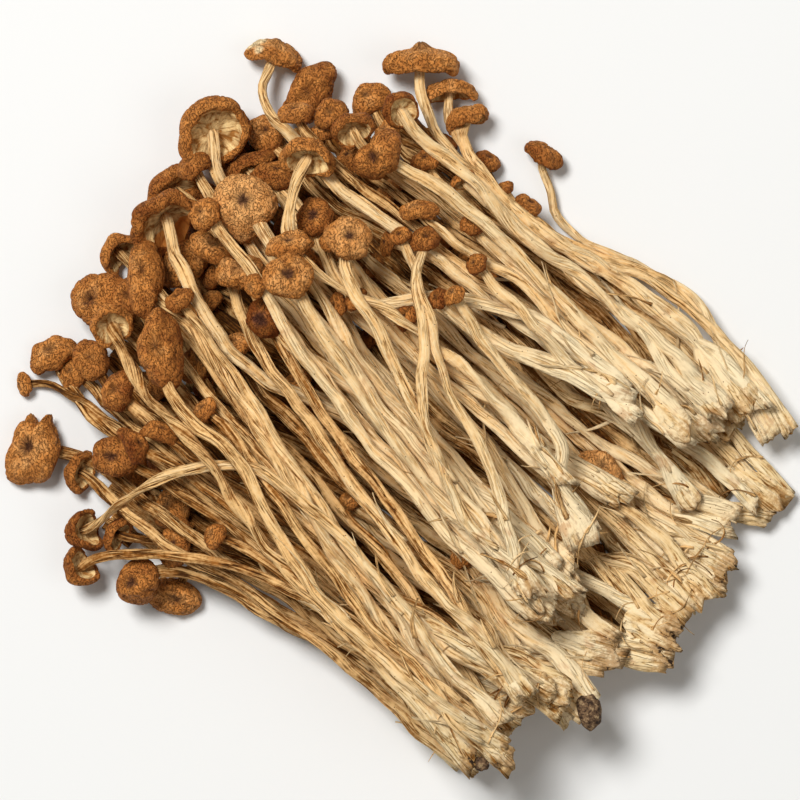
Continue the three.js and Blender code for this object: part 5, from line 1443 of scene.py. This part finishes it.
def cap_skin():
    """Dried cap skin: thin brown cuticle over shrunken flesh, like fine worn leather, with a net of wrinkles
    that run outwards near the middle, painted shade in their creases, a rim darkened partly by its own redder
    colour and partly by painted shade, and a dark middle."""
    colours = bpy.context.scene.mushrooms.colours
    material, tree = blank("cap_skin")
    place = add(tree, "TexCoord", output="Object")
    grain = add(tree, "Attribute", output="Vector", attribute_name="grain")
    crease_shade_and_soil, reach, tone, pale, centre = carried(tree, "crease_shade_and_soil", "reach", "tone", "pale", "centre")
    drawn_out = add(tree, "Mapping", {0: warped(tree, place, 2.5, 0.9), 2: (0, 0, 0.6), 3: (1, 0.6, 1)})
    folds = add(tree, "TexNoise", {"Vector": drawn_out, "Scale": 1 / (0.8 * MM), "Detail": 2.0,
                                   "Roughness": 0.5, "Offset": 1.0, "Gain": 1.6},
                noise_type="RIDGED_MULTIFRACTAL", normalize=False)
    spokes = add(tree, "TexNoise", {"Vector": grain, "Scale": 1 / 0.7, "Detail": 2, "Roughness": 0.5,
                                    "Distortion": 0.4})
    fine = add(tree, "TexNoise", {"Vector": place, "Scale": 1 / (0.45 * MM), "Detail": 3, "Roughness": 0.6,
                                  "Distortion": 0.3})
    patches = add(tree, "TexNoise", {"Vector": place, "Scale": 1 / (5 * MM), "Detail": 2, "Roughness": 0.6})
    ragged = add(tree, "TexNoise", {"Vector": place, "Scale": 1 / (1.3 * MM), "Detail": 3, "Roughness": 0.65,
                                    "Distortion": 0.5})

    # Near the middle, spokes take the place of the net.
    creases = add(tree, "Mix", {0: rising(tree, reach, 0.36, 0.1), 2: rising(tree, folds, 1.05, 1.85),
                                3: thin_lines(tree, spokes, 0.06)}, data_type="FLOAT")
    # Towards the rim (reach) the skin turns darker and redder: partly its own colour, partly painted shade
    # where the rim rolls down.
    value = sums(tree, (patches, 0.9), (fine, 0.2), (tone, 0.8), (reach, -0.3), -0.2)
    colour = add(tree, "ValToRGB", {0: value}, stops=[
        (0.0, CAP_BROWN), (0.5, colours.cap_middle), (0.95, colours.cap_light)])
    # Painted shade: the creases of the net and spokes and the depth of the wrinkles darken the skin towards
    # the crease colour.
    colour = coated(tree, sums(tree, (creases, 0.62), (crease_shade_and_soil, 0.22)), colour, colours.cap_dark)
    spot = rising(tree, sums(tree, (centre, 0.9), (ragged, 1.6), -0.8), 0.1, 0.9)
    spot = add(tree, "Math", {0: spot, 1: 0.8}, operation="MULTIPLY")
    colour = coated(tree, spot, colour, colours.cap_centre)
    colour = coated(tree, pale, colour, colours.stem_light)
    rough = add(tree, "MapRange", {0: fine, 3: 0.55, 4: 0.8})
    return surfaced(material, colour, rough, sums(tree, (fine, 0.3), (creases, -0.7), 0.5), 1.4)


def gill_flesh():
    """Dried gills: thin pale plates that shrank and stuck together, seen as fine creases from stem to rim."""
    colours = bpy.context.scene.mushrooms.colours
    material, tree = blank("gill_flesh")
    place = add(tree, "TexCoord", output="Object")
    grain = add(tree, "Attribute", output="Vector", attribute_name="grain")
    crease_shade_and_soil, reach = carried(tree, "crease_shade_and_soil", "reach")
    plates = add(tree, "TexNoise", {"Vector": grain, "Scale": 1 / 0.5, "Detail": 2, "Roughness": 0.5,
                                    "Distortion": 0.5})
    patches = add(tree, "TexNoise", {"Vector": place, "Scale": 1 / (2.6 * MM), "Detail": 3, "Roughness": 0.6,
                                     "Distortion": 0.4})
    # Painted shade: the value is darker in the crumples and between the plates (crease_shade_and_soil).
    value = sums(tree, (plates, 0.35), (patches, 1.2), (crease_shade_and_soil, -0.35), -0.35)
    colour = add(tree, "ValToRGB", {0: value}, stops=[(0.05, colours.gill_dark), (0.5, colours.gill_light)])
    rim = rising(tree, sums(tree, (reach, 1.0), (patches, 0.2)), 0.88, 0.95)
    colour = coated(tree, rim, colour, colours.cap_middle)
    rough = add(tree, "MapRange", {0: plates, 3: 0.7, 4: 0.9})
    return surfaced(material, colour, rough, plates, 0.5)


def compost():
    """Compost: dark damp-looking crumbs dried onto the root."""
    colours = bpy.context.scene.mushrooms.colours
    material, tree = blank("compost")
    place = add(tree, "TexCoord", output="Object")
    grit = add(tree, "TexNoise", {"Vector": place, "Scale": 1 / (1.6 * MM), "Detail": 4, "Roughness": 0.7})
    colour = add(tree, "ValToRGB", {0: grit}, stops=[(0.42, colours.soil), (0.56, CRUMB), (0.7, PALE_CRUMB)])
    return surfaced(material, colour, add(tree, "MapRange", {0: grit, 3: 0.8, 4: 1.0}), grit, 0.4)


def paper_sweep():
    """Matt white paper under the heap: it keeps the soft shadow and shows nearly white."""
    material, _ = blank("paper_sweep")
    return surfaced(material, (*bpy.context.scene.mushrooms.colours.floor, 1), 0.9)


class MushroomSettings(bpy.types.PropertyGroup):
    """Everything a user would change."""

    stem: PointerProperty(type=StemSettings)
    cap: PointerProperty(type=CapSettings)
    colours: PointerProperty(type=ColourSettings)


class MUSHROOMS_OT_lower(bpy.types.Operator):
    """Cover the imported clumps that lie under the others"""

    bl_idname = "mushrooms.lower"
    bl_label = "Lower Mushrooms"

    def execute(self, context):
        _, heap = node_tree(frame["nodes"].values())
        for index, clump in enumerate(fill_clumps()):
            dress(clump, index, heap)
        return {"FINISHED"}


class MUSHROOMS_OT_upper(bpy.types.Operator):
    """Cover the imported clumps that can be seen"""

    bl_idname = "mushrooms.upper"
    bl_label = "Upper Mushrooms"

    def execute(self, context):
        _, heap = node_tree(frame["nodes"].values())
        for index, clump in enumerate(CLUMPS, FILL_CLUMPS):
            dress(clump, index, heap)
        return {"FINISHED"}


class MUSHROOMS_OT_scraps(bpy.types.Operator):
    """Lay scraps of broken stem in the gaps between the lowest mushrooms"""

    bl_idname = "mushrooms.scraps"
    bl_label = "Scraps"

    def execute(self, context):
        piece = add_scraps([o for o in context.scene.objects if o.name.startswith("clump_")])
        piece.data.materials.append(bpy.data.materials["stem_flesh"])
        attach(piece, "root")
        return {"FINISHED"}


class MUSHROOMS_OT_stage(bpy.types.Operator):
    """Add the floor, the lights and the camera"""

    bl_idname = "mushrooms.stage"
    bl_label = "Stage"

    def execute(self, context):
        scene = context.scene
        bm = bmesh.new()
        bmesh.ops.create_grid(bm, x_segments=1, y_segments=1, size=FLOOR_REACH)
        mesh = bpy.data.meshes.new("floor")
        bm.to_mesh(mesh)
        bm.free()
        floor = bpy.data.objects.new("floor", mesh)
        scene.collection.objects.link(floor)
        mesh.materials.append(paper_sweep())

        world = bpy.data.worlds.new("studio")
        scene.world = world
        world.use_nodes = True
        background = world.node_tree.nodes["Background"]
        background.inputs[0].default_value = (*linear(0xFFFCF7), 1)
        background.inputs[1].default_value = WORLD_STRENGTH
        for name, (place, size, watts) in LIGHTS.items():
            light = bpy.data.lights.new(name, "AREA")
            light.size = size
            light.energy = watts
            lamp = bpy.data.objects.new(name, light)
            lamp.location = place
            lamp.rotation_euler = (-Vector(place)).to_track_quat("-Z", "Y").to_euler()
            scene.collection.objects.link(lamp)

        lens = bpy.data.cameras.new("camera")
        lens.sensor_width = SENSOR
        lens.lens = SENSOR * (CAMERA_HEIGHT - VIEW_LEVEL) / VIEW_WIDTH
        lens.clip_end = 10 * CAMERA_HEIGHT
        camera = bpy.data.objects.new("camera", lens)
        camera.location = (-CENTRE[0] * MM, -CENTRE[1] * MM, CAMERA_HEIGHT)
        scene.collection.objects.link(camera)
        scene.camera = camera
        scene.view_settings.view_transform = "Standard"
        return {"FINISHED"}


class MUSHROOMS_PT_panel(bpy.types.Panel):
    """Lists the steps and the sizes and colours that they use"""

    bl_idname = "MUSHROOMS_PT_panel"
    bl_label = "Dried Mushrooms"
    bl_space_type = "VIEW_3D"
    bl_region_type = "UI"
    bl_category = "Mushrooms"

    def draw(self, context):
        settings = context.scene.mushrooms
        for group in (settings.stem, settings.cap, settings.colours):
            box = self.layout.box()
            for name in group.__annotations__:
                box.prop(group, name)
        for operator in (MUSHROOMS_OT_lower, MUSHROOMS_OT_upper, MUSHROOMS_OT_scraps, MUSHROOMS_OT_stage):
            self.layout.operator(operator.bl_idname)


CLASSES = (StemSettings, CapSettings, ColourSettings, MushroomSettings, MUSHROOMS_OT_lower,
           MUSHROOMS_OT_upper, MUSHROOMS_OT_scraps, MUSHROOMS_OT_stage, MUSHROOMS_PT_panel)


def register():
    for cls in CLASSES:
        bpy.utils.register_class(cls)
    bpy.types.Scene.mushrooms = PointerProperty(type=MushroomSettings)


def unregister():
    del bpy.types.Scene.mushrooms
    for cls in reversed(CLASSES):
        bpy.utils.unregister_class(cls)


def main():
    register()
    bpy.ops.mushrooms.lower()
    bpy.ops.mushrooms.upper()
    bpy.ops.mushrooms.scraps()
    bpy.ops.mushrooms.stage()


if __name__ == "__main__":
    main()
